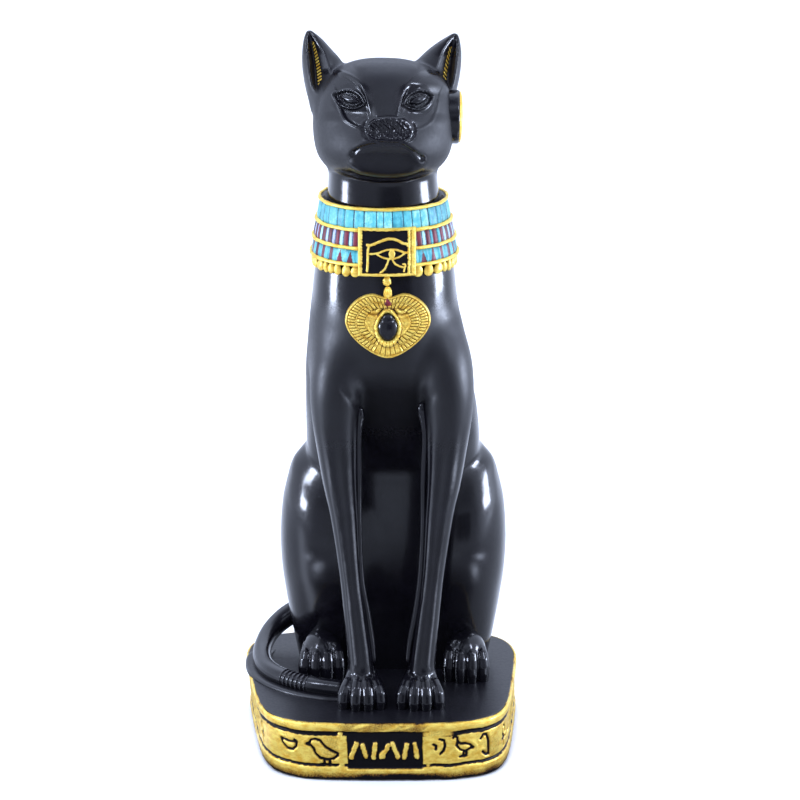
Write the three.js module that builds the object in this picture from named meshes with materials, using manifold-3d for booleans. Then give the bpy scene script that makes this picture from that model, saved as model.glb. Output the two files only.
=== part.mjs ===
// A seated cat on a low plinth, cast in resin as one body with its collar, breast plate, winged
// pendant and earring. Millimetres, +Z up. The cat looks along -Y, and the origin is the middle of
// the plinth's underside.
import * as THREE from 'three'
import { mergeVertices } from 'three/addons/utils/BufferGeometryUtils.js'
import Module from 'manifold-3d'

const wasm = await Module()
wasm.setup()

// Driving dimensions of the figure.
const figureHeight = 220 // plinth top to ear tips
const headYaw = 4 // degrees that the head turns to the viewer's right
const headPitch = 16.5 // degrees that the face is raised
const headRoll = 2 // degrees that the head leans to the viewer's right
const earringDiameter = 17
const earringThickness = 3.4
const tailRadius = 3.1
const tailRingCount = 6
const tailRingDepth = 0.45
const tailPadHeight = 1.1 // low pad that the tail lies on
const tailPadMargin = 2.4

// Driving dimensions of the plinth.
const plinthHeight = 20
const plinthSideMargin = 3.2 // from the tail to the plinth's side
const plinthEndMargin = 11 // from the toes to the plinth's front; its back is as far from the middle
const plinthTaper = 1 // how far the underside is drawn in
const plinthLean = 0.7 // how far the underside stands to the viewer's right
const upperRimHeight = 3.4
const lowerRimHeight = 4.6
const rimProud = 0.7 // how far both rims stand out from the frieze
const frontPlateWidth = 25
const frontPlateSink = 0.5
const frontPlateBorder = 0.8 // from the plate's hollow to both rims
const strokeCount = 7
const strokeWidth = 1.5
const strokeProud = 0.6

// Driving dimensions of the collar, plate and pendant.
const collarHeight = 150.4 // plinth top to the collar's foot on a cat 220 mm high
const collarWall = 1.3 // tile rows stand out from the neck by this
const bandProud = 0.7 // gilt bands stand out from the tiles by this
const bandHeight = 1.1
const tileRowHeight = 4.1
const tileRows = 3
const tileGroove = 0.35
const rimLip = 0.4 // the top rim leans away from the neck
const beadSpacing = 4.5
const beadHeight = 4.8
const beadThickness = 2.2
const plateWidth = 19
const plateThickness = 2.6
const plateFrame = 1.3
const plateRelief = 0.6
const pendantWidth = 28
const pendantHeight = 21
const pendantThickness = 1.7
const pendantFeathers = 13
const cabochonWidth = 6.3
const cabochonHeight = 9.6
const linkDiameter = 3.4

// The free forms below are written for a cat 220 mm high, and form carries them to this one.
const form = figureHeight / 220
const sink = 1 // what stands on the plinth reaches this far into it

// Torso and neck: height, middle x, front y, back y, half width, squareness.
const torsoRows = [
  [0, 3.8, 8.5, 35, 26, 2.3],
  [20, 3.8, 5.5, 38.2, 27, 2.3],
  [40, 3.8, 2.5, 38.2, 27.5, 2.3],
  [60, 3.9, -1.5, 34.4, 28, 2.3],
  [70, 4, -5.5, 31.6, 28.5, 2.3],
  [80, 4, -11, 28.6, 28.7, 2.3],
  [95, 3.5, -21.5, 23.8, 27.7, 2.3],
  [105, 2.7, -28.5, 20.4, 26.7, 2.3],
  [115, 2, -31.8, 17.2, 25.4, 2.2],
  [125, 1.5, -32, 14.4, 24.1, 2.2],
  [135, 1.3, -30.8, 12, 23.1, 2.2],
  [145, 1.1, -28.8, 10.4, 22.3, 2.2],
  [155, 1, -26.8, 9.3, 20.4, 2.1],
  [165, 0.8, -24.6, 8.7, 18.3, 2.1],
  [173, 0.6, -23.6, 8.4, 17.5, 2.1],
  [188, 0.4, -22.6, 8, 17.2, 2.1]
]
// Forelegs: height, distance from the middle, front y, back y, half width, squareness.
const foreleg = { middle: 3.5, rows: [
  [0, 9.7, -29, -15.5, 5.2, 2.2],
  [8, 9.8, -28, -15.8, 4.6, 2.2],
  [14, 10.1, -27, -16.2, 4.3, 2.1],
  [30, 11.8, -26.8, -16.6, 4, 2.1],
  [44, 13.3, -27.4, -17, 3.9, 2.1],
  [64, 15.2, -29, -16.4, 4.9, 2.2],
  [76, 16.6, -30.4, -15.4, 5.9, 2.2],
  [87, 17.5, -31.6, -14.2, 6.8, 2.2],
  [98, 18.1, -32.4, -12.6, 7.8, 2.2],
  [108, 17.6, -32.2, -10, 8.8, 2.2],
  [118, 15.8, -30.2, -7, 9.4, 2.1],
  [130, 13, -24, -4, 8, 2]
] }
// Haunches: the same columns as the forelegs.
const haunch = { middle: 4.1, rows: [
  [0, 17, 7, 33.5, 14.6, 2.3],
  [11, 17.6, 3, 35.6, 16.1, 2.3],
  [24, 18.4, -2.5, 37.2, 17.4, 2.2],
  [35, 19.1, -5.8, 37.4, 18.1, 2.2],
  [46, 19.4, -7, 36.2, 18.2, 2.1],
  [58, 19.6, -4.8, 33, 17.2, 2.1],
  [66, 20.1, -1.2, 29.4, 15, 2],
  [72, 20.8, 2.8, 26, 12.4, 2],
  [77, 21.6, 7.4, 21.8, 8.6, 2],
  [80, 22.2, 11.4, 18, 4, 2]
] }
// Paws: middle, distance from it, heel y, toe y, half width, height.
const forePaw = { middle: 3.2, offset: 9.8, heel: -14, toe: -34, half: 7.7, height: 10.2 }
const hindPaw = { middle: 4.3, offset: 23.9, heel: 15, toe: -7.8, half: 7.6, height: 15 }
const toeCount = 4
// Tail: the middle line from inside the rump, round the left haunch, to the left fore paw.
const tailRoute = [
  [-8, 30, 17], [-21, 33.2, 14], [-30.5, 32, 10.8], [-36.9, 26.5, 7], [-39.9, 16.5, 4],
  [-39.3, 6, 2.6], [-36, -3.4, 2.5], [-30.2, -10.8, 2.5], [-22.4, -16.4, 2.5], [-11.5, -20.6, 2.5]
]
const tailRootScale = 1.5
// Head, in its own frame: x to the viewer's right, -y out of the face, z over the crown.
const headCentre = [0.8, -10, 191.9]
const headHalf = { side: 22.7, front: 23, back: 19.5, height: 20.1, power: 2.45 }
const eyeShift = -0.9 // the eyes sit this much to the left of the nose
const earShift = -0.8
// Ears: height, outer x, inner x, front y, back y of one ear, in the head's frame.
const earRows = [
  [4, 22.4, 9, -6, 11.5],
  [10, 24.1, 10.4, -6.4, 10.4],
  [15, 25.1, 11.6, -5.8, 8.8],
  [19.2, 25.5, 13, -4.6, 7],
  [22.6, 25.5, 16, -3.2, 5],
  [26, 25, 19.3, -1.8, 3.2],
  [27.8, 24.4, 21.6, -0.8, 1.8],
  [28.7, 23.8, 22.9, 0, 0.9]
]
const earHollow = { scale: 0.74, out: 1.6, forward: 4.6, down: 1.4 }

// Value of a table at a height: a cubic through the rows, its slopes taken from their neighbours.
function at (rows, z) {
  let i = 0
  while (i < rows.length - 2 && z > rows[i + 1][0]) i++
  const low = rows[i]
  const high = rows[i + 1]
  const before = rows[Math.max(i - 1, 0)]
  const after = rows[Math.min(i + 2, rows.length - 1)]
  const span = high[0] - low[0]
  const t = THREE.MathUtils.clamp((z - low[0]) / span, 0, 1)
  return low.map((value, k) => {
    const slopeLow = (high[k] - before[k]) / (high[0] - before[0]) * span
    const slopeHigh = (after[k] - value) / (after[0] - low[0]) * span
    const t2 = t * t
    const t3 = t2 * t
    return value * (2 * t3 - 3 * t2 + 1) + slopeLow * (t3 - 2 * t2 + t) +
      high[k] * (3 * t2 - 2 * t3) + slopeHigh * (t3 - t2)
  })
}

// Signed power, which makes a superellipse of a cosine or sine.
const bend = (value, power) => Math.sign(value) * Math.abs(value) ** (2 / power)

const heights = (low, high, steps) =>
  Array.from({ length: steps + 1 }, (_, i) => low + (high - low) * i / steps)

// Superellipse ring at height z, anticlockwise from above.
function oval (x, front, back, half, power, z, count, grow = 0) {
  return Array.from({ length: count }, (_, i) => {
    const angle = 2 * Math.PI * i / count
    return new THREE.Vector3(x + (half + grow) * bend(Math.cos(angle), power),
      (front + back) / 2 + ((back - front) / 2 + grow) * bend(Math.sin(angle), power), z)
  })
}

// Closed body over a row of rings with equal counts of points, its ends closed by fans.
function skin (rings) {
  const count = rings[0].length
  const points = rings.flat()
  const bottom = points.length
  const top = bottom + 1
  for (const end of [rings[0], rings.at(-1)]) {
    const middle = new THREE.Vector3()
    for (const point of end) middle.addScaledVector(point, 1 / count)
    points.push(middle)
  }
  const faces = []
  const lastRing = (rings.length - 1) * count
  for (let i = 0; i < count; i++) {
    const next = (i + 1) % count
    for (let base = 0; base < lastRing; base += count) {
      faces.push(base + i, base + next, base + next + count)
      faces.push(base + i, base + next + count, base + i + count)
    }
    faces.push(bottom, next, i, top, lastRing + i, lastRing + next)
  }
  return new THREE.BufferGeometry().setFromPoints(points).setIndex(faces)
}

function solid (geometry, matrix = new THREE.Matrix4()) {
  const placed = geometry.clone().applyMatrix4(matrix)
  placed.deleteAttribute('normal')
  placed.deleteAttribute('uv')
  const merged = mergeVertices(placed, 1e-4)
  return new wasm.Manifold(new wasm.Mesh({
    numProp: 3,
    vertProperties: new Float32Array(merged.attributes.position.array),
    triVerts: new Uint32Array(merged.index.array)
  }))
}

const join = parts => parts.reduce((sum, part) => sum.add(part))

// Round body along a curve, with a ring at each share of the way; radiusAt gives its radius there,
// and up is a direction that the curve never takes.
function rope (points, radiusAt, shares, sides, up) {
  const curve = new THREE.CatmullRomCurve3(points)
  const rings = shares.map(share => {
    const centre = curve.getPointAt(share)
    const along = curve.getTangentAt(share)
    const across = along.clone().cross(up).normalize()
    const rise = along.clone().cross(across)
    return Array.from({ length: sides }, (_, i) => {
      const angle = 2 * Math.PI * i / sides
      return centre.clone()
        .addScaledVector(across, radiusAt(share) * Math.cos(angle))
        .addScaledVector(rise, radiusAt(share) * Math.sin(angle))
    })
  })
  return skin(rings)
}
const upward = new THREE.Vector3(0, 0, 1)
const backward = new THREE.Vector3(0, 1, 0)

// Ellipsoid with its poles on the y axis, so that it is finest at the front.
function ball (x, y, z, halfX, halfY, halfZ, around = 10, along = 6) {
  return new THREE.SphereGeometry(1, around, along).rotateX(Math.PI / 2)
    .scale(halfX, halfY, halfZ).translate(x, y, z)
}

// The figure's own frame stands on the plinth and is scaled to its height.
const onPlinth = new THREE.Matrix4().makeTranslation(0, 0, plinthHeight)
  .multiply(new THREE.Matrix4().makeScale(form, form, form))

function torso () {
  const rings = heights(-sink / form, torsoRows.at(-1)[0], 18).map(z => {
    const [, x, front, back, half, power] = at(torsoRows, z)
    return oval(x, front, back, half, power, z, 24)
  })
  return solid(skin(rings), onPlinth)
}

function limb ({ middle, rows }, side, steps, count) {
  const rings = heights(-sink / form, rows.at(-1)[0], steps).map(z => {
    const [, offset, front, back, half, power] = at(rows, z)
    return oval(middle + side * offset, front, back, half, power, z, count)
  })
  return solid(skin(rings), onPlinth)
}

// A paw is one rounded pad with a row of toes across its front.
function paw ({ middle, offset, heel, toe, half, height }, side) {
  const x = middle + side * offset
  const length = heel - toe
  const toeHalf = half / toeCount * 1.16
  const pad = ball(x, heel - length * 0.5, 0, half * 0.95, length * 0.47, height, 8, 4)
  const toes = Array.from({ length: toeCount }, (_, i) => {
    const across = (i + 0.5) / toeCount * 2 - 1
    const back = length * 0.13 * across * across
    return ball(x + across * (half - toeHalf * 0.86) * 1.06, toe + length * 0.3 + back, height * 0.22,
      toeHalf, length * 0.3, height * 0.52, 5, 4)
  })
  return join([pad, ...toes].map(part => solid(part, onPlinth)))
}

function tail () {
  const points = tailRoute.map(([x, y, z]) => new THREE.Vector3(x, y, z))
  const ringsFrom = 0.74
  const ringsTo = 0.86
  const radiusAt = t => {
    const taper = THREE.MathUtils.lerp(tailRootScale, 1, THREE.MathUtils.smoothstep(t, 0, 0.45))
    const phase = (t - ringsFrom) / (ringsTo - ringsFrom)
    const groove = phase > 0 && phase < 1 ? Math.cos(2 * Math.PI * tailRingCount * phase) : 0
    return tailRadius / form * taper + tailRingDepth / form * 0.5 * groove
  }
  const shares = [...heights(0, ringsFrom, 10), ...heights(ringsFrom, ringsTo, 2 * tailRingCount).slice(1),
    ...heights(ringsTo, 1, 3).slice(1)]
  return solid(rope(points, radiusAt, shares, 6, upward), onPlinth)
}

// Low pad under the front run of the tail.
function tailPad () {
  const points = tailRoute.slice(3).map(([x, y]) => new THREE.Vector3(x, y, -sink / form))
  const outline = new THREE.CatmullRomCurve3(points).getPoints(12)
  const reach = (tailRadius + tailPadMargin) / form
  const outer = []
  const inner = []
  outline.forEach((point, i) => {
    const next = outline[Math.min(i + 1, outline.length - 1)]
    const last = outline[Math.max(i - 1, 0)]
    const side = next.clone().sub(last).normalize().cross(upward)
    outer.push(new THREE.Vector2(point.x + side.x * reach, point.y + side.y * reach))
    inner.unshift(new THREE.Vector2(point.x, point.y))
  })
  const shape = new THREE.Shape([...outer, ...inner])
  const depth = (tailPadHeight + sink) / form
  const slab = new THREE.ExtrudeGeometry(shape, { depth, bevelEnabled: false })
  return solid(slab.translate(0, 0, -sink / form), onPlinth)
}

// The head's frame: its centre on the neck, turned to the viewer's right and raised.
const headFrame = onPlinth.clone()
  .multiply(new THREE.Matrix4().makeTranslation(...headCentre))
  .multiply(new THREE.Matrix4().makeRotationZ(THREE.MathUtils.degToRad(headYaw)))
  .multiply(new THREE.Matrix4().makeRotationX(-THREE.MathUtils.degToRad(headPitch)))
  .multiply(new THREE.Matrix4().makeRotationY(THREE.MathUtils.degToRad(headRoll)))

function skull () {
  const { side, front, back, height, power } = headHalf
  const around = 22
  const rings = heights(-80, 80, 10).map(latitude => {
    const up = Math.sin(THREE.MathUtils.degToRad(latitude))
    const flat = Math.cos(THREE.MathUtils.degToRad(latitude))
    return Array.from({ length: around }, (_, i) => {
      const angle = 2 * Math.PI * i / around
      const way = new THREE.Vector3(flat * Math.cos(angle), flat * Math.sin(angle), up)
      const depth = way.y < 0 ? front : back
      const size = Math.abs(way.x / side) ** power + Math.abs(way.y / depth) ** power +
        Math.abs(way.z / height) ** power
      return way.multiplyScalar(size ** (-1 / power))
    })
  })
  return solid(skin(rings), headFrame)
}

// y of the skull's front at a place of the face.
function faceAt (x, z) {
  const { side, front, height, power } = headHalf
  const rest = 1 - Math.abs(x / side) ** power - Math.abs(z / height) ** power
  return -front * Math.max(rest, 0) ** (1 / power)
}

const eye = { out: 11.6, up: 5.3, half: 5.3, height: 2.8, turn: 24, slant: 17 }
// Almond eye facing -y: a raised lid round a sunk line and a domed eyeball.
function almond () {
  const levels = [[1, 2], [1, -1], [0.8, -1.3], [0.72, -0.6], [0.4, -1.5]]
  return skin(levels.map(([share, y]) => Array.from({ length: 10 }, (_, i) => {
    const angle = 2 * Math.PI * i / 10
    const pinch = Math.abs(Math.sin(angle)) ** 1.3
    return new THREE.Vector3(Math.cos(angle) * eye.half * share, y,
      Math.sign(Math.sin(angle)) * pinch * eye.height * share)
  })))
}
const muzzle = { side: 11.8, front: 11.2, height: 7 }
// Muzzle, bridge and brows stand out of the skull; the eyes lie between them in their lids.
function face () {
  const parts = [
    ball(0, -17, -7, muzzle.side, muzzle.front, muzzle.height, 10, 5),
    ball(0, -12.6, -12, 13.2, 13, 8.2, 8, 4),
    ball(0, -26, -4.4, 7.2, 2.8, 3.5, 8, 4)
  ]
  const bridge = heights(-4, 17, 4).map(z => {
    const t = (z + 4) / 21
    const half = THREE.MathUtils.lerp(4.3, 9.5, t ** 2.2)
    const y = THREE.MathUtils.lerp(-27, -14.6, t ** 1.15)
    return oval(0, y, y + 10, half, 3.2, z, 6)
  })
  parts.push(skin(bridge))
  for (const side of [-1, 1]) {
    const brow = [[15, 14.4], [11.6, 13.2], [8.3, 10.6], [6, 5.6], [5.2, 0]]
    const route = brow.map(([x, z]) =>
      new THREE.Vector3(side * x + eyeShift, faceAt(x, z) + 0.4 - (15 - x) * 0.12, z))
    parts.push(rope(route, t => 0.5 + 0.7 * Math.sin(Math.PI * t), heights(0, 1, 6), 4, backward))
    const place = new THREE.Matrix4()
      .makeTranslation(side * eye.out + eyeShift, faceAt(eye.out, eye.up) + 0.4, eye.up)
      .multiply(new THREE.Matrix4().makeRotationZ(side * THREE.MathUtils.degToRad(eye.turn)))
      .multiply(new THREE.Matrix4().makeRotationY(-side * THREE.MathUtils.degToRad(eye.slant)))
    parts.push(almond().applyMatrix4(place))
  }
  return join(parts.map(part => solid(part, headFrame)))
}

function mouth () {
  const line = [[-10.2, -10.8], [-6.5, -9.2], [0, -8.6], [6.5, -9.2], [10.2, -10.8]]
  const points = line.map(([x, z]) => {
    const rest = 1 - (x / muzzle.side) ** 2 - ((z + 7) / muzzle.height) ** 2
    return new THREE.Vector3(x, -17 - muzzle.front * Math.sqrt(Math.max(rest, 0)), z)
  })
  return solid(rope(points, () => 0.6, heights(0, 1, 8), 4, backward), headFrame)
}

function ear (side) {
  const shell = (scale, out, forward, down) => earRows.map(([z, outer, inner, front, back]) => {
    const x = side * ((outer + inner) / 2 + out) + earShift
    const y = (front + back) / 2 - forward
    const halfY = (back - front) / 2 * scale
    return oval(x, y - halfY, y + halfY, (outer - inner) / 2 * scale, 2, z - down, 10)
  })
  const { scale, out, forward, down } = earHollow
  const whole = solid(skin(shell(1, 0, 0, 0)), headFrame)
  const hollow = solid(skin(shell(scale, out, forward, down)), headFrame)
  return { whole, hollow }
}

// Disc that hangs flat against the right cheek from the edge of the ear.
function earring () {
  const disc = new THREE.CylinderGeometry(earringDiameter / 2, earringDiameter / 2,
    earringThickness, 20).rotateZ(Math.PI / 2)
  const centre = new THREE.Matrix4().makeTranslation(22, -3.6, 1.6)
  const placed = headFrame.clone().multiply(centre)
    .multiply(new THREE.Matrix4().makeScale(1 / form, 1 / form, 1 / form))
  return solid(disc, placed)
}

// Point on the chest, the lift measured straight forward from its surface.
function onChest (x, z, lift = 0) {
  const [, middle, front, back, half, power] = at(torsoRows, z / form)
  const reach = Math.min(Math.abs((x / form - middle) / half), 1)
  const depth = (back - front) / 2 * (1 - reach ** power) ** (1 / power)
  return new THREE.Vector3(x, ((front + back) / 2 - depth) * form - lift, z + plinthHeight)
}

// Ring round the neck, standing out by grow; its odd points are sunk by groove and raised by lift.
function neckRing (z, grow, groove, count = 36, lift = 0) {
  const [, x, front, back, half, power] = at(torsoRows, z / form)
  const level = z + plinthHeight
  const middle = new THREE.Vector3(x * form, (front + back) / 2 * form, level)
  return oval(middle.x, front * form, back * form, half * form, power, level, count).map((point, i) => {
    const out = point.clone().sub(middle).normalize()
    point.addScaledVector(out, grow - (i % 2 ? groove : 0))
    if (i % 2) point.z += lift
    return point
  })
}

// Collar: tile rows between gilt bands, closed by a rim that leans off the neck.
const collarFoot = collarHeight * form
const collarTop = collarFoot + tileRows * tileRowHeight + (tileRows + 1) * bandHeight
function collar () {
  const steps = []
  for (let row = 0; row < tileRows; row++) {
    const z = collarFoot + row * (tileRowHeight + bandHeight)
    steps.push([z, 0], [z + bandHeight / 2, 1], [z + bandHeight, 0])
  }
  const rimFoot = collarTop - bandHeight
  const rings = [neckRing(collarFoot, -3, 0)]
  for (const [z, band] of steps) {
    rings.push(neckRing(z, collarWall + band * bandProud, band ? 0 : tileGroove))
  }
  rings.push(neckRing(rimFoot, collarWall + rimLip, 0))
  rings.push(neckRing(collarTop, collarWall + rimLip + bandProud, 0))
  rings.push(neckRing(rimFoot - 1.2, 0.2, 0), neckRing(rimFoot - 1.2, -3, 0))
  return solid(skin(rings))
}

// Flat drops hang edge to edge below the collar: a skirt whose odd points are the notches.
function beads () {
  const top = collarFoot + bandHeight / 2
  const middle = collarFoot - beadHeight * 0.45
  const foot = collarFoot + bandHeight / 2 - beadHeight
  const [, , front, back, half] = at(torsoRows, middle / form)
  const girth = Math.PI * (half + (back - front) / 2) * form
  const count = Math.round(girth / beadSpacing)
  const notch = 0.35
  return solid(skin([
    neckRing(foot, -3, 0, count * 2),
    neckRing(foot, beadThickness * 0.3, 0, count * 2, beadHeight * notch),
    neckRing(middle, beadThickness / 2, beadThickness * 0.4, count * 2),
    neckRing(top, beadThickness * 0.3, 0, count * 2),
    neckRing(top, -3, 0, count * 2)
  ]))
}

// A strip of the chest's own curve: box from left to right and foot to top, standing out by lift.
function slab (left, right, foot, top, lift, into = 3, steps = 3) {
  const corners = [[foot, -into], [foot, lift], [top, lift], [top, -into]]
  const rings = heights(right, left, steps).map(x =>
    corners.map(([z, out]) => onChest(x, z, out)))
  return skin(rings)
}

// Raised line on the chest through the given places.
function chestLine (places, radius, lift, steps) {
  return rope(places.map(([x, z]) => onChest(x, z, lift)), () => radius, heights(0, 1, steps), 3, backward)
}

const plateX = 2.1 * form
const plateFoot = collarFoot - beadHeight + 0.8
const plateTop = collarTop - tileRowHeight - bandHeight / 2
function plate () {
  const left = plateX - plateWidth / 2
  const right = plateX + plateWidth / 2
  const field = plateThickness - plateRelief
  const parts = [
    slab(left, right, plateFoot, plateTop, field),
    slab(left, right, plateFoot, plateFoot + plateFrame * 0.7, plateThickness),
    slab(left, right, plateTop - plateFrame * 0.7, plateTop, plateThickness),
    slab(left, left + plateFrame, plateFoot, plateTop, plateThickness, 3, 2),
    slab(right - plateFrame, right, plateFoot, plateTop, plateThickness, 3, 2)
  ]
  const place = (u, v) => [plateX + u * plateWidth, plateFoot + v * (plateTop - plateFoot)]
  const strokes = [
    [[-0.33, 0.62], [-0.2, 0.66], [-0.02, 0.78], [0.16, 0.74], [0.34, 0.62]],
    [[-0.3, 0.46], [-0.12, 0.56], [0.08, 0.58], [0.3, 0.48]],
    [[-0.3, 0.46], [-0.1, 0.4], [0.1, 0.4], [0.3, 0.48]],
    [[-0.33, 0.62], [-0.33, 0.4], [-0.33, 0.16]],
    [[0.04, 0.4], [0.02, 0.28], [-0.08, 0.14]],
    [[0.08, 0.4], [0.16, 0.26], [0.26, 0.18]]
  ]
  for (const stroke of strokes) {
    parts.push(chestLine(stroke.map(([u, v]) => place(u, v)), plateRelief, field, stroke.length - 1))
  }
  return join(parts.map(part => solid(part)))
}

// Pendant: a heart of feather ribs round a cabochon, below two links and a bead.
const pendantX = plateX + 0.1 * form
const pendantTop = plateFoot - 5.2 * form
function heart (angle, share) {
  const dip = 0.22 * Math.exp(-((angle - Math.PI / 2) ** 2) / 0.09)
  const point = 0.1 * Math.exp(-((angle - 1.5 * Math.PI) ** 2) / 0.3)
  const width = 1 - 0.22 * Math.max(-Math.sin(angle), 0) ** 1.5
  const x = Math.cos(angle) * width * pendantWidth / 2 * share
  const z = Math.sin(angle) * (1 - dip + point) * pendantHeight / 2 * share
  return [pendantX + x, pendantTop - pendantHeight / 2 + z]
}
function pendant () {
  const around = pendantFeathers * 2
  const levels = [
    [1, -3, 0], [1, 1, 0], [0.92, 1, 0], [0.88, 0.7, 0.16],
    [0.66, 0.76, 0.16], [0.6, 1, 0], [0.36, 0.76, 0.14]
  ]
  const rings = levels.map(([share, lift, rib]) => Array.from({ length: around }, (_, i) => {
    const angle = 2 * Math.PI * i / around
    const [x, z] = heart(angle, share)
    const height = lift < 0 ? lift : pendantThickness * (lift - (i % 2 ? rib : 0))
    return onChest(x, z, height)
  }))
  const middleZ = pendantTop - pendantHeight * 0.54
  const stone = onChest(pendantX, middleZ, pendantThickness * 0.8)
  const parts = [
    skin(rings),
    ball(stone.x, stone.y, stone.z, cabochonWidth / 2, 2, cabochonHeight / 2, 10, 5)
  ]
  const links = Math.max(Math.round((plateFoot - pendantTop) / linkDiameter + 1.4), 2)
  for (let i = 0; i < links; i++) {
    const share = i / (links - 1)
    const z = THREE.MathUtils.lerp(plateFoot, pendantTop - pendantHeight * 0.22, share)
    const centre = onChest(pendantX, z, linkDiameter * 0.25)
    parts.push(ball(centre.x, centre.y, centre.z, linkDiameter * 0.46, linkDiameter * 0.5,
      linkDiameter * 0.6, 5, 4))
  }
  return join(parts.map(part => solid(part)))
}

// Plinth plan: widest behind the middle, its sides run in to rounded front corners, and the
// front bows out. Angle 0 is +X, anticlockwise.
const reachSide = Math.max(...tailRoute.map(([x]) => -x)) * form + tailRadius + plinthSideMargin
const reachEnd = -forePaw.toe * form + plinthEndMargin
function plinthRing (z, inset, count = 36) {
  const below = 1 - z / plinthHeight
  return Array.from({ length: count }, (_, i) => {
    const angle = 2 * Math.PI * i / count
    const y = bend(Math.sin(angle), 5)
    const forward = THREE.MathUtils.clamp((0.55 - y) / 1.55, 0, 1)
    const narrowing = 1 - (Math.cos(angle) < 0 ? 0.17 : 0.12) * forward ** 1.15
    const x = bend(Math.cos(angle), 5) * narrowing
    const bow = y < -0.9 ? 0.045 * x * x : 0
    return new THREE.Vector3(x * (reachSide - inset - plinthTaper * below) + plinthLean * below,
      (y + bow) * (reachEnd - inset), z)
  })
}
function plinth () {
  const top = plinthHeight
  const levels = [
    [0, 0.5], [0.7, 0], [lowerRimHeight - 0.5, 0], [lowerRimHeight, rimProud],
    [top - upperRimHeight, rimProud], [top - upperRimHeight + 0.4, 0], [top - 0.8, 0], [top, 0.7]
  ]
  return solid(skin(levels.map(([z, inset]) => plinthRing(z, inset))))
}

// Front of the plinth's frieze at x, seen from the front.
function frontAt (x, z) {
  const ring = plinthRing(z, rimProud, 720)
  const near = ring.filter(point => point.y < 0)
    .reduce((best, point) => Math.abs(point.x - x) < Math.abs(best.x - x) ? point : best)
  return near.y
}

// The front plate is sunk into the frieze and carries a row of raised strokes.
function frontPlate () {
  const foot = lowerRimHeight + frontPlateBorder
  const top = plinthHeight - upperRimHeight - frontPlateBorder
  const middle = (foot + top) / 2
  const field = frontAt(0, middle) + frontPlateSink
  const cut = 6
  const hollow = new THREE.BoxGeometry(frontPlateWidth, cut, top - foot)
    .translate(0, field - cut / 2, middle)
  const strokes = []
  for (let i = 0; i < strokeCount; i++) {
    const x = ((i + 0.5) / strokeCount - 0.5) * (frontPlateWidth - 2 * strokeWidth)
    const tall = (top - foot) * (i % 3 === 1 ? 0.34 : 0.52)
    const wide = strokeWidth * (i % 2 ? 0.67 : 1)
    strokes.push(new THREE.BoxGeometry(wide, strokeProud + sink, tall)
      .translate(x, field + (sink - strokeProud) / 2, middle))
  }
  return { hollow: solid(hollow), strokes: join(strokes.map(part => solid(part))) }
}

const ears = [ear(-1), ear(1)]
const plateOnPlinth = frontPlate()
const head = join([skull(), face(), ears[0].whole, ears[1].whole])
  .subtract(ears[0].hollow).subtract(ears[1].hollow).subtract(mouth())
const figure = join([
  plinth().subtract(plateOnPlinth.hollow), plateOnPlinth.strokes, torso(),
  limb(foreleg, -1, 11, 10), limb(foreleg, 1, 11, 10), limb(haunch, -1, 9, 16),
  limb(haunch, 1, 9, 16), paw(forePaw, -1), paw(forePaw, 1), paw(hindPaw, -1), paw(hindPaw, 1),
  tail(), tailPad(), head, earring(), collar(), beads(), plate(), pendant()
])

function toGeometry (body) {
  const { vertProperties, triVerts, numProp } = body.getMesh()
  const geometry = new THREE.BufferGeometry()
  const count = vertProperties.length / numProp
  const positions = new Float32Array(count * 3)
  for (let i = 0; i < count; i++) {
    positions.set(vertProperties.subarray(i * numProp, i * numProp + 3), i * 3)
  }
  geometry.setAttribute('position', new THREE.BufferAttribute(positions, 3))
  geometry.setIndex(Array.from(triVerts))
  return geometry
}

const blackLacquer = new THREE.MeshStandardMaterial({ color: 0x17171b, roughness: 0.25, metalness: 0 })
const cat = new THREE.Mesh(toGeometry(figure), blackLacquer)
cat.name = 'cat_figure'

const group = new THREE.Group()
group.add(cat)
export default group
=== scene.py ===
import math
import bpy
import numpy as np
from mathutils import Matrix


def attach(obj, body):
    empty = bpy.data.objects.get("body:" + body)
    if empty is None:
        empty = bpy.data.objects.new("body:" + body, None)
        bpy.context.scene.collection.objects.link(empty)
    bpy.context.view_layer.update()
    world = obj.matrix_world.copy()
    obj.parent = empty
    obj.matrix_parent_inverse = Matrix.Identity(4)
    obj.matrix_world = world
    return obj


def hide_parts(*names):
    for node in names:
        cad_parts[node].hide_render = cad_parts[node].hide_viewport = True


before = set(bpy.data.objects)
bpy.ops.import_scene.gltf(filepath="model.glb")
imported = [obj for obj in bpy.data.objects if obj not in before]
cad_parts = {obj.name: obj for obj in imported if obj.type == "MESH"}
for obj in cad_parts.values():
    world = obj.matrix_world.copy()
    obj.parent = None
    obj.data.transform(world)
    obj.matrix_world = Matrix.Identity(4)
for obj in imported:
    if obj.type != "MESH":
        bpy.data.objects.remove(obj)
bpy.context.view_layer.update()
print("frame loaded:", sorted(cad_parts))

# Lengths are millimetres with z above the plinth's top, until addPiece turns them into metres.
plinthHeight = 20.0
catNode = "cat_figure"
coarse = 1.0  # wider mesh steps while things are tried out
chance = np.random.default_rng(31)
noTriangles = np.zeros((0, 3), int)


# Small tools for numbers and curves

def fewer(count):
    # a count of mesh steps, cut down while things are tried out
    return int(count / coarse)


def circle(count):
    # angles once round, in equal steps from 0
    return np.linspace(0, 2 * np.pi, count, endpoint=False)


def bend(value, power):
    # signed power, which makes a superellipse of a cosine or sine
    return np.sign(value) * np.abs(value) ** (2 / power)


def ramp(low, high, value):
    # 0 below low, 1 above high, smooth between
    t = np.clip((value - low) / (high - low), 0, 1)
    return t * t * (3 - 2 * t)


def hump(value, width):
    # bell curve of height 1
    return np.exp(-(value / width) ** 2)


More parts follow.
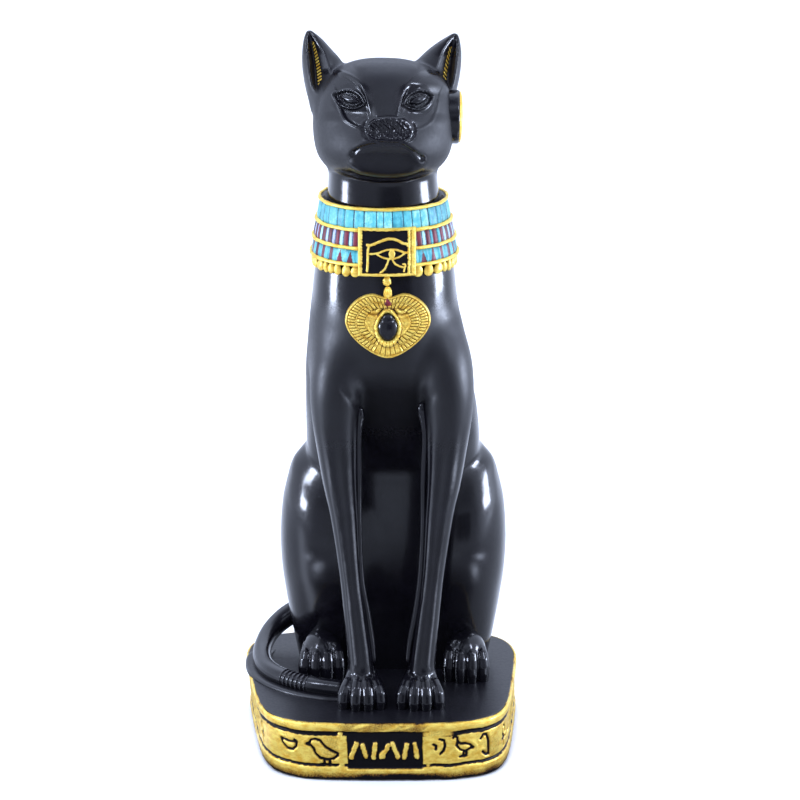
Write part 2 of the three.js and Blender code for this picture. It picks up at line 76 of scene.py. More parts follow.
def smoothMin(a, b, width):
    # the smaller of two fields, rounded off where they lie within width of each other
    mix = np.clip(0.5 + 0.5 * (b - a) / width, 0, 1)
    return b + (a - b) * mix - width * mix * (1 - mix)


def smoothMax(a, b, width):
    # the larger of two fields, rounded off in the same way
    return -smoothMin(-a, -b, width)


def rowsAt(rows, z):
    # every column of a table at the heights z: a cubic through the rows, sloped like their neighbours
    rows = np.asarray(rows, float)
    z = np.asarray(z, float)
    i = np.clip(np.searchsorted(rows[:, 0], z, side="right") - 1, 0, len(rows) - 2)
    low, high = rows[i], rows[i + 1]
    before, after = rows[np.maximum(i - 1, 0)], rows[np.minimum(i + 2, len(rows) - 1)]
    span = high[..., :1] - low[..., :1]
    t = np.clip((z[..., None] - low[..., :1]) / span, 0, 1)
    slopeLow = (high - before) / (high[..., :1] - before[..., :1]) * span
    slopeHigh = (after - low) / (after[..., :1] - low[..., :1]) * span
    t2, t3 = t ** 2, t ** 3
    value = (low * (2 * t3 - 3 * t2 + 1) + slopeLow * (t3 - 2 * t2 + t)
             + high * (3 * t2 - 2 * t3) + slopeHigh * (t3 - t2))
    return [value[..., k] for k in range(1, rows.shape[1])]


def smoothLine(points, count):
    # Catmull-Rom curve through the points, at count places a like way apart along it
    p = np.asarray(points, float)
    p = np.vstack([2 * p[0] - p[1], p, 2 * p[-1] - p[-2]])
    t = np.linspace(0, len(p) - 3 - 1e-9, count * 8)
    i = t.astype(int)
    f = (t - i)[:, None]
    a, b, c, d = p[i], p[i + 1], p[i + 2], p[i + 3]
    dense = 0.5 * (2 * b + (c - a) * f + (2 * a - 5 * b + 4 * c - d) * f ** 2
                   + (3 * b - a - 3 * c + d) * f ** 3)
    way = wayAlong(dense)
    even = np.linspace(0, way[-1], count)
    return np.stack([np.interp(even, way, column) for column in dense.T], 1)


def wayAlong(points):
    # length of a broken line up to each of its points
    return np.concatenate([[0], np.cumsum(np.linalg.norm(np.diff(points, axis=0), axis=1))])


def outwardOf(x, y):
    # outward direction at each point of a closed line that runs anticlockwise seen from above
    dx, dy = np.roll(x, -1) - np.roll(x, 1), np.roll(y, -1) - np.roll(y, 1)
    long = np.hypot(dx, dy)
    return dy / long, -dx / long


def alongRoute(route, level):
    # at each point of a route two directions across it: one square to level, and one square to both
    on = np.gradient(route, axis=0)
    on /= np.linalg.norm(on, axis=1)[:, None]
    right = np.cross(on, level)
    right /= np.linalg.norm(right, axis=1)[:, None]
    return right, np.cross(right, on)


def lineDistance(x, z, points):
    # distance of each place from a broken line in the plane, and its sign: plus on the line's left
    near = np.full(np.broadcast(x, z).shape, 1e9)
    side = np.ones_like(near)
    for (x0, z0), (x1, z1) in zip(points[:-1], points[1:]):
        dx, dz = x1 - x0, z1 - z0
        t = np.clip(((x - x0) * dx + (z - z0) * dz) / (dx * dx + dz * dz), 0, 1)
        away = np.hypot(x - x0 - t * dx, z - z0 - t * dz)
        left = np.sign(dx * (z - z0) - dz * (x - x0))
        closer = away < near
        near = np.where(closer, away, near)
        side = np.where(closer, left, side)
    return near, side


def waves(x, y, z, size, seed):
    # soft noise from -1 to 1: a sum of sines in random directions, with waves about size long
    dice = np.random.default_rng(seed)
    total = 0
    for _ in range(7):
        way = dice.normal(size=3)
        way = way / np.linalg.norm(way) * 2 * np.pi / size * dice.uniform(0.6, 1.7)
        total = total + np.sin(way[0] * x + way[1] * y + way[2] * z + dice.uniform(0, 7))
    return total / 4


# Meshes from arrays

def gridFaces(rows, cols, aroundCols=True, aroundRows=False):
    # quads over a grid of points, closed round its columns or rows where asked
    i, j = np.meshgrid(np.arange(rows if aroundRows else rows - 1),
                       np.arange(cols if aroundCols else cols - 1), indexing="ij")
    i, j = i.ravel(), j.ravel()
    iNext, jNext = (i + 1) % rows, (j + 1) % cols
    return np.stack([i * cols + j, i * cols + jNext, iNext * cols + jNext, iNext * cols + j], 1)


def shellOf(points):
    # closed body over a stack of rings: quads between them, and a fan to a middle point at each end
    rows, cols = points.shape[:2]
    flat = points.reshape(-1, 3)
    ends = [points[0].mean(0), points[-1].mean(0)]
    ring = np.arange(cols)
    after = (ring + 1) % cols
    last = (rows - 1) * cols
    fans = np.vstack([np.stack([np.full(cols, len(flat)), after, ring], 1),
                      np.stack([np.full(cols, len(flat) + 1), last + ring, last + after], 1)])
    return np.vstack([flat, ends]), gridFaces(rows, cols), fans


def patchOf(points, depth):
    # closed body under an open grid of points: its border is drawn back by depth to one middle point
    rows, cols = points.shape[:2]
    index = np.arange(rows * cols).reshape(rows, cols)
    border = np.concatenate([index[0, :-1], index[:-1, -1], index[-1, :0:-1], index[:0:-1, 0]])
    flat = points.reshape(-1, 3)
    back = flat[border] + np.array([0, depth, 0])
    start = len(flat)
    ring = np.arange(len(border))
    after = (ring + 1) % len(border)
    wall = np.stack([border, start + ring, start + after, border[after]], 1)
    fan = np.stack([np.full(len(border), start + len(border)), start + after, start + ring], 1)
    points = np.vstack([flat, back, back.mean(0)])
    return points, np.vstack([gridFaces(rows, cols, False), wall]), fan


def closedBand(points):
    # rows of points that close both along and across, like a tyre
    rows, cols = points.shape[:2]
    return points.reshape(-1, 3), gridFaces(rows, cols, True, True), noTriangles


def tubeRound(route, radius, level, count):
    # rings of count points round a route, each across it
    right, up = alongRoute(route, level)
    angle = circle(count)[None, :, None]
    ring = right[:, None] * np.cos(angle) + up[:, None] * np.sin(angle)
    return route[:, None] + ring * radius[:, None, None]


def joinShells(shells):
    # several closed bodies, each of points, quads and triangles, as one
    start, joined = 0, []
    for points, quads, triangles in shells:
        joined.append((points, quads + start, triangles + start))
        start += len(points)
    return [np.vstack(part) for part in zip(*joined)]


def addPiece(name, shell, material, paint=None):
    # Piece of the figure, with its faces turned outwards. Shell is its points in millimetres, its
    # quads and its triangles. Paint holds one number a point under each name, and 0 past its end.
    points, quads, triangles = shell
    halves = np.vstack([quads[:, [0, 1, 2]], quads[:, [0, 2, 3]], triangles])
    a, b, c = (points[halves[:, k]] - points.mean(0) for k in range(3))
    if np.einsum("ij,ij->", a, np.cross(b, c)) < 0:
        quads, triangles = quads[:, ::-1], triangles[:, ::-1]
    corners = np.concatenate([quads.ravel(), triangles.ravel()])
    sides = np.concatenate([np.full(len(quads), 4), np.full(len(triangles), 3)])
    starts = np.cumsum(sides) - sides
    world = (points + [0, 0, plinthHeight]) / 1000
    mesh = bpy.data.meshes.new(name)
    mesh.vertices.add(len(world))
    mesh.vertices.foreach_set("co", world.astype(np.float32).ravel())
    mesh.loops.add(len(corners))
    mesh.loops.foreach_set("vertex_index", corners.astype(np.int32))
    mesh.polygons.add(len(starts))
    mesh.polygons.foreach_set("loop_start", starts.astype(np.int32))
    mesh.polygons.foreach_set("use_smooth", np.ones(len(starts), bool))
    mesh.update(calc_edges=True)
    mesh.validate()
    for key, values in (paint or {}).items():
        full = np.zeros(len(points), np.float32)
        full[:len(values)] = values
        mesh.attributes.new(key, "FLOAT", "POINT").data.foreach_set("value", full)
    mesh.materials.append(material)
    piece = bpy.data.objects.new(name, mesh)
    bpy.context.scene.collection.objects.link(piece)
    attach(piece, "root")
    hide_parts(catNode)
    print(f"  {name}: {len(mesh.loops) - 2 * len(mesh.polygons)} triangles")


def stepsOf(*spans):
    # places along an axis from spans of (start, end, step)
    parts = [np.arange(start, end - 1e-6, step * coarse) for start, end, step in spans]
    return np.concatenate(parts + [[spans[-1][1]]])


def polygonise(field, axes):
    # Surface nets: each cell that the field's zero runs through gets one point, at the mean of the
    # crossings on its edges, and each grid edge that it crosses gets a quad. Newton steps along the
    # field's slope then carry the points onto the surface itself.
    grid = field(axes[0][:, None, None], axes[1][None, :, None], axes[2][None, None, :])
    inside = grid < 0
    corners = [(i, j, k) for i in (0, 1) for j in (0, 1) for k in (0, 1)]
    cut = tuple(n - 1 for n in grid.shape)
    count = sum(inside[tuple(slice(low, low + long) for low, long in zip(corner, cut))].astype(np.int8)
                for corner in corners)
    cell = np.argwhere((count > 0) & (count < 8))
    number = np.full(cut, -1)
    number[tuple(cell.T)] = np.arange(len(cell))
    total, hits = np.zeros((len(cell), 3)), np.zeros(len(cell))
    for a in corners:
        for axis in range(3):
            if a[axis]:
                continue
            b = tuple(value + (k == axis) for k, value in enumerate(a))
            va, vb = grid[tuple((cell + a).T)], grid[tuple((cell + b).T)]
            crossed = (va < 0) != (vb < 0)
            share = np.where(crossed, va / np.where(crossed, va - vb, 1), 0)
            pa = np.stack([axes[k][cell[:, k] + a[k]] for k in range(3)], 1)
            pb = np.stack([axes[k][cell[:, k] + b[k]] for k in range(3)], 1)
            total += np.where(crossed[:, None], pa + (pb - pa) * share[:, None], 0)
            hits += crossed
    points = total / hits[:, None]
    quads = []
    for axis in range(3):
        u, v = (axis + 1) % 3, (axis + 2) % 3
        low = [slice(1, -1)] * 3
        low[axis] = slice(0, -1)
        high = list(low)
        high[axis] = slice(1, None)
        a, b = inside[tuple(low)], inside[tuple(high)]
        uStep, vStep = np.eye(3, dtype=int)[[u, v]]
        for going in (True, False):
            at = np.argwhere((a == going) & (b != going))
            around = [at, at + uStep, at + uStep + vStep, at + vStep]
            quad = np.stack([number[tuple(place.T)] for place in around], 1)
            quads.append(quad if going else quad[:, ::-1])
    return settle(field, points, min(np.diff(axes[0]).min(), 0.5)), np.vstack(quads), noTriangles


def slopeOf(field, points, small=0.04):
    # the field's slope at each point, which is its outward direction
    x, y, z = points.T
    return np.stack([field(x + small, y, z) - field(x - small, y, z),
                     field(x, y + small, z) - field(x, y - small, z),
                     field(x, y, z + small) - field(x, y, z - small)], 1) / (2 * small)


def settle(field, points, limit):
    # Newton steps along the field's slope, none longer than limit
    for _ in range(3):
        slope = slopeOf(field, points)
        step = field(*points.T)[:, None] * slope / np.maximum((slope ** 2).sum(1), 0.05)[:, None]
        length = np.linalg.norm(step, axis=1)
        points = points - step * np.minimum(1, limit / np.maximum(length, 1e-9))[:, None]
    return points


# Materials. Places are in metres, so a scale of 1000 / size gives grains about size mm across.
# A MapRange takes a value, its range and the range to carry it to; it keeps inside that. A Mix of
# colours has its share on socket 0, the two colours on 6 and 7, and the result on output 2.

def linear(hexColour):
    # sRGB hex to the linear colour that shaders take
    parts = [int(hexColour[k:k + 2], 16) / 255 for k in (1, 3, 5)]
    return tuple(c / 12.92 if c <= 0.04045 else ((c + 0.055) / 1.055) ** 2.4 for c in parts) + (1.0,)


def addNode(owner, kind, inputs=(), out=0, **settings):
    # One node with its settings. inputs gives its sockets, in order or by name or number, a value, a
    # hex colour or the output that feeds them. Returns the output that out numbers or names.
    node = owner.node_tree.nodes.new("ShaderNode" + kind)
    for key, value in settings.items():
        setattr(node, key, value)
    for key, value in (inputs if isinstance(inputs, dict) else dict(enumerate(inputs))).items():
        if isinstance(value, bpy.types.NodeSocket):
            owner.node_tree.links.new(value, node.inputs[key])
        else:
            node.inputs[key].default_value = linear(value) if isinstance(value, str) else value
    return node.outputs[out] if node.outputs else None


def newMaterial(name):
    # a material with no nodes yet
    material = bpy.data.materials.new(name)
    material.use_nodes = True
    material.node_tree.nodes.clear()
    return material


def blackLacquer(name, smoothRough, dullRough, polished=False):
    # Gloss lacquer sprayed on cast, stone-filled polyester resin: near black, a little blue, with
    # soft-edged highlights, hand-smoothed waves some millimetres long and a few fine dust specks.
    # Where polished is asked for, the attribute polish tells the glossy places from satin ones.
    look = {"base": "#0a090e", "dust": "#100f15", "waveSize": 9, "grainSize": 1.1, "speckSize": 1.7,
            "specksAbove": 0.955, "satinAdds": 0.4, "ior": 1.5}
    m = newMaterial(name)
    place = addNode(m, "TexCoord", out="Object")
    cloud = addNode(m, "TexNoise", {"Vector": place, "Scale": 1000 / look["waveSize"], "Detail": 2,
                                    "Roughness": 0.55})
    grain = addNode(m, "TexNoise", {"Vector": place, "Scale": 1000 / look["grainSize"], "Detail": 4,
                                    "Roughness": 0.65})
    specks = addNode(m, "TexVoronoi", {"Vector": place, "Scale": 1000 / look["speckSize"]}, "Distance")
    cells = addNode(m, "SeparateColor", [specks.node.outputs["Color"]])
    rare = addNode(m, "MapRange", (cells, look["specksAbove"], look["specksAbove"] + 0.015))
    speck = addNode(m, "MapRange", (specks, 0.05, 0.11, 1, 0))
    speck = addNode(m, "Math", (speck, rare), operation="MULTIPLY")
    dull = addNode(m, "MapRange", (grain, 0.35, 0.75, smoothRough, dullRough))
    if polished:
        polish = addNode(m, "Attribute", out="Fac", attribute_name="polish")
        dull = addNode(m, "Math", (dull, addNode(m, "MapRange", (polish, 0, 1, look["satinAdds"], 0))))
    share = addNode(m, "MapRange", (cloud, 0.35, 0.8))
    colour = addNode(m, "Mix", {0: share, 6: look["base"], 7: look["dust"]}, 2, data_type="RGBA")
    bump = addNode(m, "Bump", {"Height": cloud, "Strength": 0.25, "Distance": 0.0004})
    bump = addNode(m, "Bump", {"Height": grain, "Strength": 0.08, "Distance": 0.0001, "Normal": bump})
    bump = addNode(m, "Bump", {"Height": speck, "Strength": 0.6, "Distance": 0.00008, "Normal": bump})
    shader = addNode(m, "BsdfPrincipled", {"Base Color": colour, "Roughness": dull, "Normal": bump,
                                           "IOR": look["ior"]})
    addNode(m, "OutputMaterial", {"Surface": shader})
    return m


def goldPaint(name, recess=True):
    # Metallic gold paint brushed over the black casting: pale yellow on the high places, brownish
    # where it is thin, streaked by the brush and left off in the recesses, which stay black.
    look = {"bright": "#fde06c", "deep": "#dfaa2f", "thin": "#8a5f16", "black": "#0d0c11",
            "brushSize": 3.4, "grainSize": 0.45, "metal": 0.45}
    m = newMaterial(name)
    place = addNode(m, "TexCoord", out="Object")
    streaks = addNode(m, "Mapping", {"Vector": place, "Scale": (1, 1, 2.2)})
    brush = addNode(m, "TexNoise", {"Vector": streaks, "Scale": 1000 / look["brushSize"], "Detail": 3,
                                    "Roughness": 0.6})
    grain = addNode(m, "TexNoise", {"Vector": place, "Scale": 1000 / look["grainSize"], "Detail": 3,
                                    "Roughness": 0.6})
    share = addNode(m, "MapRange", (brush, 0.28, 0.6))
    tone = addNode(m, "Mix", {0: share, 6: look["deep"], 7: look["bright"]}, 2, data_type="RGBA")
    share = addNode(m, "MapRange", (grain, 0.66, 0.8))
    tone = addNode(m, "Mix", {0: share, 6: tone, 7: look["thin"]}, 2, data_type="RGBA")
    rough = addNode(m, "MapRange", (brush, 0.3, 0.7, 0.46, 0.3))
    bump = addNode(m, "Bump", {"Height": grain, "Strength": 0.35, "Distance": 0.00012})
    metal, level = look["metal"], 0.5
    if recess:
        gilt = addNode(m, "Attribute", out="Fac", attribute_name="gilt")
        ragged = addNode(m, "MapRange", (grain, 0.3, 0.7, -0.16, 0.16))
        ragged = addNode(m, "Math", (gilt, ragged))
        share = addNode(m, "MapRange", (ragged, 0.5, 0.95))
        tone = addNode(m, "Mix", {0: share, 6: look["thin"], 7: tone}, 2, data_type="RGBA")
        covered = addNode(m, "MapRange", (ragged, 0.36, 0.56))
        tone = addNode(m, "Mix", {0: covered, 6: look["black"], 7: tone}, 2, data_type="RGBA")
        rough = addNode(m, "Math", (rough, addNode(m, "MapRange", (covered, 0, 1, 0.05, 0))))
        metal = addNode(m, "MapRange", (covered, 0, 1, 0, look["metal"]))
        level = addNode(m, "MapRange", (covered, 0, 1, 0.15, 0.5))
    shader = addNode(m, "BsdfPrincipled", {"Base Color": tone, "Roughness": rough, "Normal": bump,
                                           "Metallic": metal, "Specular IOR Level": level})
    addNode(m, "OutputMaterial", {"Surface": shader})
    return m


def tilePaint(name):
    # Matt turquoise, crimson and pale paint on the cast tiles, dry-brushed so that paler strokes
    # catch on the high places and a dark wash stays in the joints.
    look = {"turquoise": "#60bfc9", "teal": "#3391a6", "pale": "#b8f2f2", "crimson": "#7e2036",
            "wine": "#4d1122", "lilac": "#b4b6e2", "wash": "#174a60",
            "strokeSize": 1.5, "grainSize": 0.4}
    m = newMaterial(name)
    place = addNode(m, "TexCoord", out="Object")
    streaks = addNode(m, "Mapping", {"Vector": place, "Scale": (1, 1, 0.6)})
    stroke = addNode(m, "TexNoise", {"Vector": streaks, "Scale": 1000 / look["strokeSize"], "Detail": 4,
                                     "Roughness": 0.65})
    grain = addNode(m, "TexNoise", {"Vector": place, "Scale": 1000 / look["grainSize"], "Detail": 3,
                                    "Roughness": 0.6})
    tone, joint, lilac, crimson = [addNode(m, "Attribute", out="Fac", attribute_name=key)
                                   for key in ("tone", "joint", "lilac", "crimson")]
    shade = addNode(m, "Math", (stroke, tone))
    ragged = addNode(m, "MapRange", (grain, 0.3, 0.7, -0.2, 0.2))
    joint = addNode(m, "Math", (joint, ragged))

    def blend(value, low, high, first, second):
        # from the first colour to the second as value goes from low to high
        share = addNode(m, "MapRange", (value, low, high))
        return addNode(m, "Mix", {0: share, 6: first, 7: second}, 2, data_type="RGBA")

    colour = blend(shade, 0.3, 0.55, look["teal"], look["turquoise"])
    colour = blend(shade, 0.6, 0.85, colour, look["pale"])
    colour = blend(lilac, 0.4, 0.6, colour, blend(shade, 0.35, 0.7, look["lilac"], look["pale"]))
    colour = blend(crimson, 0.4, 0.6, colour, blend(shade, 0.3, 0.7, look["wine"], look["crimson"]))
    colour = blend(joint, 0.35, 0.85, colour, look["wash"])
    rough = addNode(m, "MapRange", (grain, 0.3, 0.7, 0.38, 0.55))
    bump = addNode(m, "Bump", {"Height": grain, "Strength": 0.5, "Distance": 0.0001})
    shader = addNode(m, "BsdfPrincipled", {"Base Color": colour, "Roughness": rough, "Normal": bump})
    addNode(m, "OutputMaterial", {"Surface": shader})
    return m


def crimsonPaint(name):
    # Satin crimson paint, darker where it pooled.
    look = {"pooled": "#4d0d18", "thin": "#8c2230", "brushSize": 1.2, "rough": 0.33}
    m = newMaterial(name)
    place = addNode(m, "TexCoord", out="Object")
    brush = addNode(m, "TexNoise", {"Vector": place, "Scale": 1000 / look["brushSize"], "Detail": 3,
                                    "Roughness": 0.55})
    share = addNode(m, "MapRange", (brush, 0.35, 0.65))
    colour = addNode(m, "Mix", {0: share, 6: look["pooled"], 7: look["thin"]}, 2, data_type="RGBA")
    bump = addNode(m, "Bump", {"Height": brush, "Strength": 0.3, "Distance": 0.0001})
    shader = addNode(m, "BsdfPrincipled", {"Base Color": colour, "Roughness": look["rough"],
                                           "Normal": bump})
    addNode(m, "OutputMaterial", {"Surface": shader})
    return m


lacquer = blackLacquer("gloss_black_lacquer_on_cast_resin", 0.13, 0.22)
satin = blackLacquer("satin_black_lacquer_on_cast_resin", 0.3, 0.44)
handled = blackLacquer("part_polished_black_lacquer_on_cast_resin", 0.13, 0.22, polished=True)
gilding = goldPaint("brushed_gold_paint_with_black_recesses")
plainGilding = goldPaint("brushed_gold_paint", recess=False)
enamel = tilePaint("dry_brushed_tile_paint")
crimson = crimsonPaint("satin_crimson_paint")
print("materials made")


# The body: columns joined softly into one field

catBody = {
    # height, middle x, front y, back y, half width, squareness
    "torso": [
        [0, 3.8, 6.5, 35, 26, 2.3], [20, 3.8, 2, 38.2, 27, 2.3], [30, 3.8, -1.2, 38.4, 27.2, 2.3],
        [38, 3.8, -3.1, 38, 27.4, 2.3], [46, 3.8, -4.3, 37.2, 27.6, 2.3],
        [54, 3.9, -4.9, 35.7, 27.9, 2.3], [62, 3.9, -5.3, 33.8, 28.2, 2.3],
        [68, 4, -5.6, 32.3, 28.4, 2.3], [73, 4, -5.9, 30.8, 28.5, 2.3],
        [77, 4, -7.8, 29.5, 28.6, 2.3], [84, 3.9, -12.2, 27.4, 28.5, 2.3],
        [95, 3.3, -18.6, 23.8, 27.9, 2.3], [104, 2.5, -24.6, 20.7, 27, 2.3],
        [109, 2, -28.2, 19.1, 26.5, 2.2],
        [114, 1.6, -30.7, 17.5, 25.8, 2.2], [119, 1.4, -31.7, 16, 25.2, 2.2],
        [125, 1.2, -32.1, 14.4, 24.5, 2.2], [135, 1.1, -30.8, 12, 23.4, 2.2],
        [145, 1.1, -28.8, 10.4, 22.3, 2.2],
        [155, 1, -26.8, 9.3, 20.4, 2.1], [165, 0.8, -24.6, 8.7, 18.3, 2.1],
        [173, 0.6, -23.6, 8.4, 17.5, 2.1], [188, 0.4, -22.6, 8, 17.2, 2.1]],
    "forelegMiddle": 3.5,
    # height, distance from the legs' middle, front y, back y, half width, squareness
    "foreleg": [
        [0, 9.7, -29, -15.5, 5.2, 2.2], [8, 9.8, -28, -15.8, 4.6, 2.2],
        [14, 10.1, -27, -16.2, 4.3, 2.1],
        [30, 11.8, -26.8, -16.6, 4, 2.1], [44, 13.3, -27.4, -17, 3.9, 2.1],
        [64, 15.2, -29, -16.4, 4.9, 2.2], [76, 16.6, -30.4, -15.4, 5.9, 2.2],
        [87, 17.5, -31.6, -14.2, 6.8, 2.2], [98, 18.1, -32.4, -12.6, 7.8, 2.2],
        [108, 17.6, -32.2, -10, 8.8, 2.2], [118, 15.8, -30.2, -7, 9.4, 2.1], [130, 13, -24, -4, 8, 2]],
    "haunchMiddle": 4.1,
    "haunch": [
        [0, 17, 7, 33.5, 14.6, 2.3], [11, 17.6, 3, 35.6, 16.1, 2.3], [24, 18.4, -2.5, 37.2, 17.4, 2.2],
        [35, 19.1, -5.8, 37.4, 18.1, 2.2], [46, 19.4, -7, 36.2, 18.2, 2.1],
        [58, 19.6, -4.8, 33, 17.2, 2.1], [66, 20.1, -1.2, 29.4, 15, 2], [72, 20.8, 2.8, 26, 12.4, 2],
        [76, 21.5, 7.4, 21.8, 8.4, 2], [79, 22.1, 11.4, 18, 3.8, 2]],
    "thighShift": 1.8,  # the fold between the thighs lies this far to the viewer's right of the middle
    "legBlend": 3.2,
    "haunchBlend": 3.8,
    "footing": -1.2,  # the body reaches this far into the plinth
    "cutBlend": 0.1,  # rounding of the cut ends, which other pieces cover
    "neckCut": 161.0,  # hidden under the collar
    # lines cut into the front, as x and height, with their depth and half width
    "folds": [
        (0.6, 0.8, [(-12.6, 109.2), (-9.5, 105), (-7.6, 102.7)]),
        (0.35, 1.3, [(16.4, 107), (14.6, 104.4), (12.6, 102)]),
        (0.9, 1.5, [(9.4, 77), (7.4, 68), (6.6, 60), (7.2, 52), (9, 44), (10.6, 36)]),
    ],
    "satinChest": 0.7, "satinBelly": 0.1,
    "step": 0.95, "pawStep": 0.38,  # of the mesh
}


def columnField(rows, x, y, z, middle=0.0, side=1.0, inward=0.0):
    # Superellipse column: distance from its surface, measured along the line from its axis. Inward
    # moves the inner edge by that much and keeps the outer one.
    centre, front, back, half, power = rowsAt(rows, z)
    centre = middle + side * centre + inward / 2
    half = half - side * inward / 2
    midY, halfY = (front + back) / 2, (back - front) / 2
    away = np.hypot(x - centre, y - midY) + 1e-6
    u, v = np.abs((x - centre) / half), np.abs((y - midY) / halfY)
    size = (u ** power + v ** power) ** (1 / power) + 1e-9
    return away - away / size


def torsoField(x, y, z):
    # the torso's column, upright about its own middle
    return columnField(catBody["torso"], x, y, z)


def forelegField(x, y, z, side):
    # the foreleg's column, mirrored about the forelegs' middle
    return columnField(catBody["foreleg"], x, y, z, catBody["forelegMiddle"], side)


# padUp is the height of the pad's middle, root and knuckle are distances from a toe's tip and heights
forePaw = {"middle": 3.3, "offset": 9.5, "heel": -15, "toe": -34.6, "half": 8, "padUp": 0,
           "padHeight": 8.6, "root": (9.6, 11.2), "knuckle": (3.4, 7.6), "toeRadius": 2.05, "fan": 0.5}
hindPaw = {"middle": 4.3, "offset": 23.9, "heel": 13, "toe": -8.4, "half": 7.8, "padUp": 6,
           "padHeight": 15.4, "root": (8.6, 12), "knuckle": (2.8, 9.2), "toeRadius": 2.1, "fan": 0.8}
toeCount = 4
pawTop = 16.5


def capsuleField(x, y, z, start, end, startRadius, endRadius):
    # round bar between two points whose radius changes along it
    start, end = np.asarray(start, float), np.asarray(end, float)
    way = end - start
    t = np.clip(((x - start[0]) * way[0] + (y - start[1]) * way[1] + (z - start[2]) * way[2])
                / (way @ way), 0, 1)
    away = np.sqrt((x - start[0] - t * way[0]) ** 2 + (y - start[1] - t * way[1]) ** 2
                   + (z - start[2] - t * way[2]) ** 2)
    return away - startRadius - (endRadius - startRadius) * t


def ellipsoidField(x, y, z, centre, halves):
    # distance from the centre less the ellipsoid's radius that way
    u, v, w = (x - centre[0]) / halves[0], (y - centre[1]) / halves[1], (z - centre[2]) / halves[2]
    size = np.sqrt(u * u + v * v + w * w) + 1e-9
    away = np.sqrt((x - centre[0]) ** 2 + (y - centre[1]) ** 2 + (z - centre[2]) ** 2)
    return away - away / size


def pawField(x, y, z, paw, side):
    # a rounded pad with a fan of long toes, each arching from the wrist over its knuckle to the ground
    middle = paw["middle"] + side * paw["offset"]
    length = paw["heel"] - paw["toe"]
    pad = ellipsoidField(x, y, z, (middle, paw["heel"] - length * 0.44, paw["padUp"]),
                         (paw["half"] * 0.92, length * 0.44, paw["padHeight"] - paw["padUp"]))
    toes, radius = None, paw["toeRadius"]
    rootBack, rootUp = paw["root"]
    kneeBack, kneeUp = paw["knuckle"]
    for across in np.linspace(-1, 1, toeCount):
        tip = paw["toe"] + radius + 1.7 * across ** 2
        tipX = middle + across * (paw["half"] - radius)
        rootX = middle + across * (paw["half"] - radius) * paw["fan"]
        line = smoothLine([(rootX, tip + rootBack, rootUp - radius, radius * 0.72),
                           (tipX - (tipX - rootX) * 0.4, tip + kneeBack, kneeUp - 0.5 * across ** 2,
                            radius * 0.94),
                           (tipX, tip + 0.5, kneeUp * 0.5, radius * 1.06),
                           (tipX, tip + 0.2, 0.4, radius * 0.9)], 8)
        toe = 50.0
        for start, end in zip(line[:-1], line[1:]):
            toe = np.minimum(toe, capsuleField(x, y, z, start[:3], end[:3], start[3], end[3]))
        toes = toe if toes is None else smoothMin(toes, toe, 0.2)
    return smoothMin(pad, toes, 0.5)


def nearBox(field, low, high):
    # the field inside a box with a margin, and a large number outside it, to save time on grids
    def limited(x, y, z):
        far = np.full(np.broadcast(x, y, z).shape, 50.0)
        if far.ndim == 1:
            pick = np.logical_and.reduce([(p > a) & (p < b) for p, a, b in zip((x, y, z), low, high)])
            far[pick] = field(x[pick], y[pick], z[pick])
            return far
        spans = []
        for k, axis in enumerate((x, y, z)):
            flat = axis.ravel()
            spans.append(slice(np.searchsorted(flat, low[k]), np.searchsorted(flat, high[k])))
        far[tuple(spans)] = field(x[spans[0]], y[:, spans[1]], z[:, :, spans[2]])
        return far
    return limited


fieldParts = []
for side in (-1, 1):
    def haunchField(x, y, z, side=side):
        # the haunch's column, rounded off above its last row
        column = columnField(catBody["haunch"], x, y, z, catBody["haunchMiddle"], side,
                             catBody["thighShift"] * 2)
        return smoothMax(column, z - catBody["haunch"][-1][0], 2.0)

    def legField(x, y, z, side=side):
        # the foreleg's column, rounded off above its last row
        return smoothMax(forelegField(x, y, z, side), z - catBody["foreleg"][-1][0], 4.0)

    fieldParts.append((haunchField, catBody["haunchBlend"], (-60, -20, -3), (60, 50, 90)))
    fieldParts.append((legField, catBody["legBlend"], (-40, -45, -3), (45, 8, 140)))


def bodyField(x, y, z):
    # the torso joined softly with both haunches and forelegs
    total = torsoField(x, y, z)
    for part, blend, low, high in fieldParts:
        total = smoothMin(total, nearBox(part, low, high)(x, y, z), blend)
    return total


def cutBody(x, y, z):
    # the body between its footing and the cut through the neck
    capped = smoothMax(bodyField(x, y, z), catBody["footing"] - z, catBody["cutBlend"])
    return smoothMax(capped, z - catBody["neckCut"], catBody["cutBlend"])


step = catBody["step"]
bodyAxes = [stepsOf((-40, -22, step), (-22, 27, step * 0.72), (27, 47, step)),
            stepsOf((-39, -5, step * 0.8), (-5, 44, step)),
            stepsOf((-2.5, 18, step * 0.72), (18, catBody["neckCut"] + 2, step))]
points, *faces = polygonise(cutBody, bodyAxes)
x, y, z = points.T
ahead = y < 5 - 0.3 * z
relief = np.zeros(len(points))
for deep, width, line in catBody["folds"]:
    relief -= deep * hump(lineDistance(x, z, line)[0], width) * ahead
cut = relief < -0.01
points[cut] += slopeOf(bodyField, points[cut]) * relief[cut, None]
satinChest = catBody["satinChest"] * ramp(80, 104, z) * ramp(139, 128, z)
satinBelly = catBody["satinBelly"] * ramp(-17, -13, y) * ramp(5, 2, y) * ramp(14, 10, np.abs(x - 3))
addPiece("seated_body", [points, *faces], handled,
         {"polish": 1 - np.maximum(satinChest, satinBelly)})


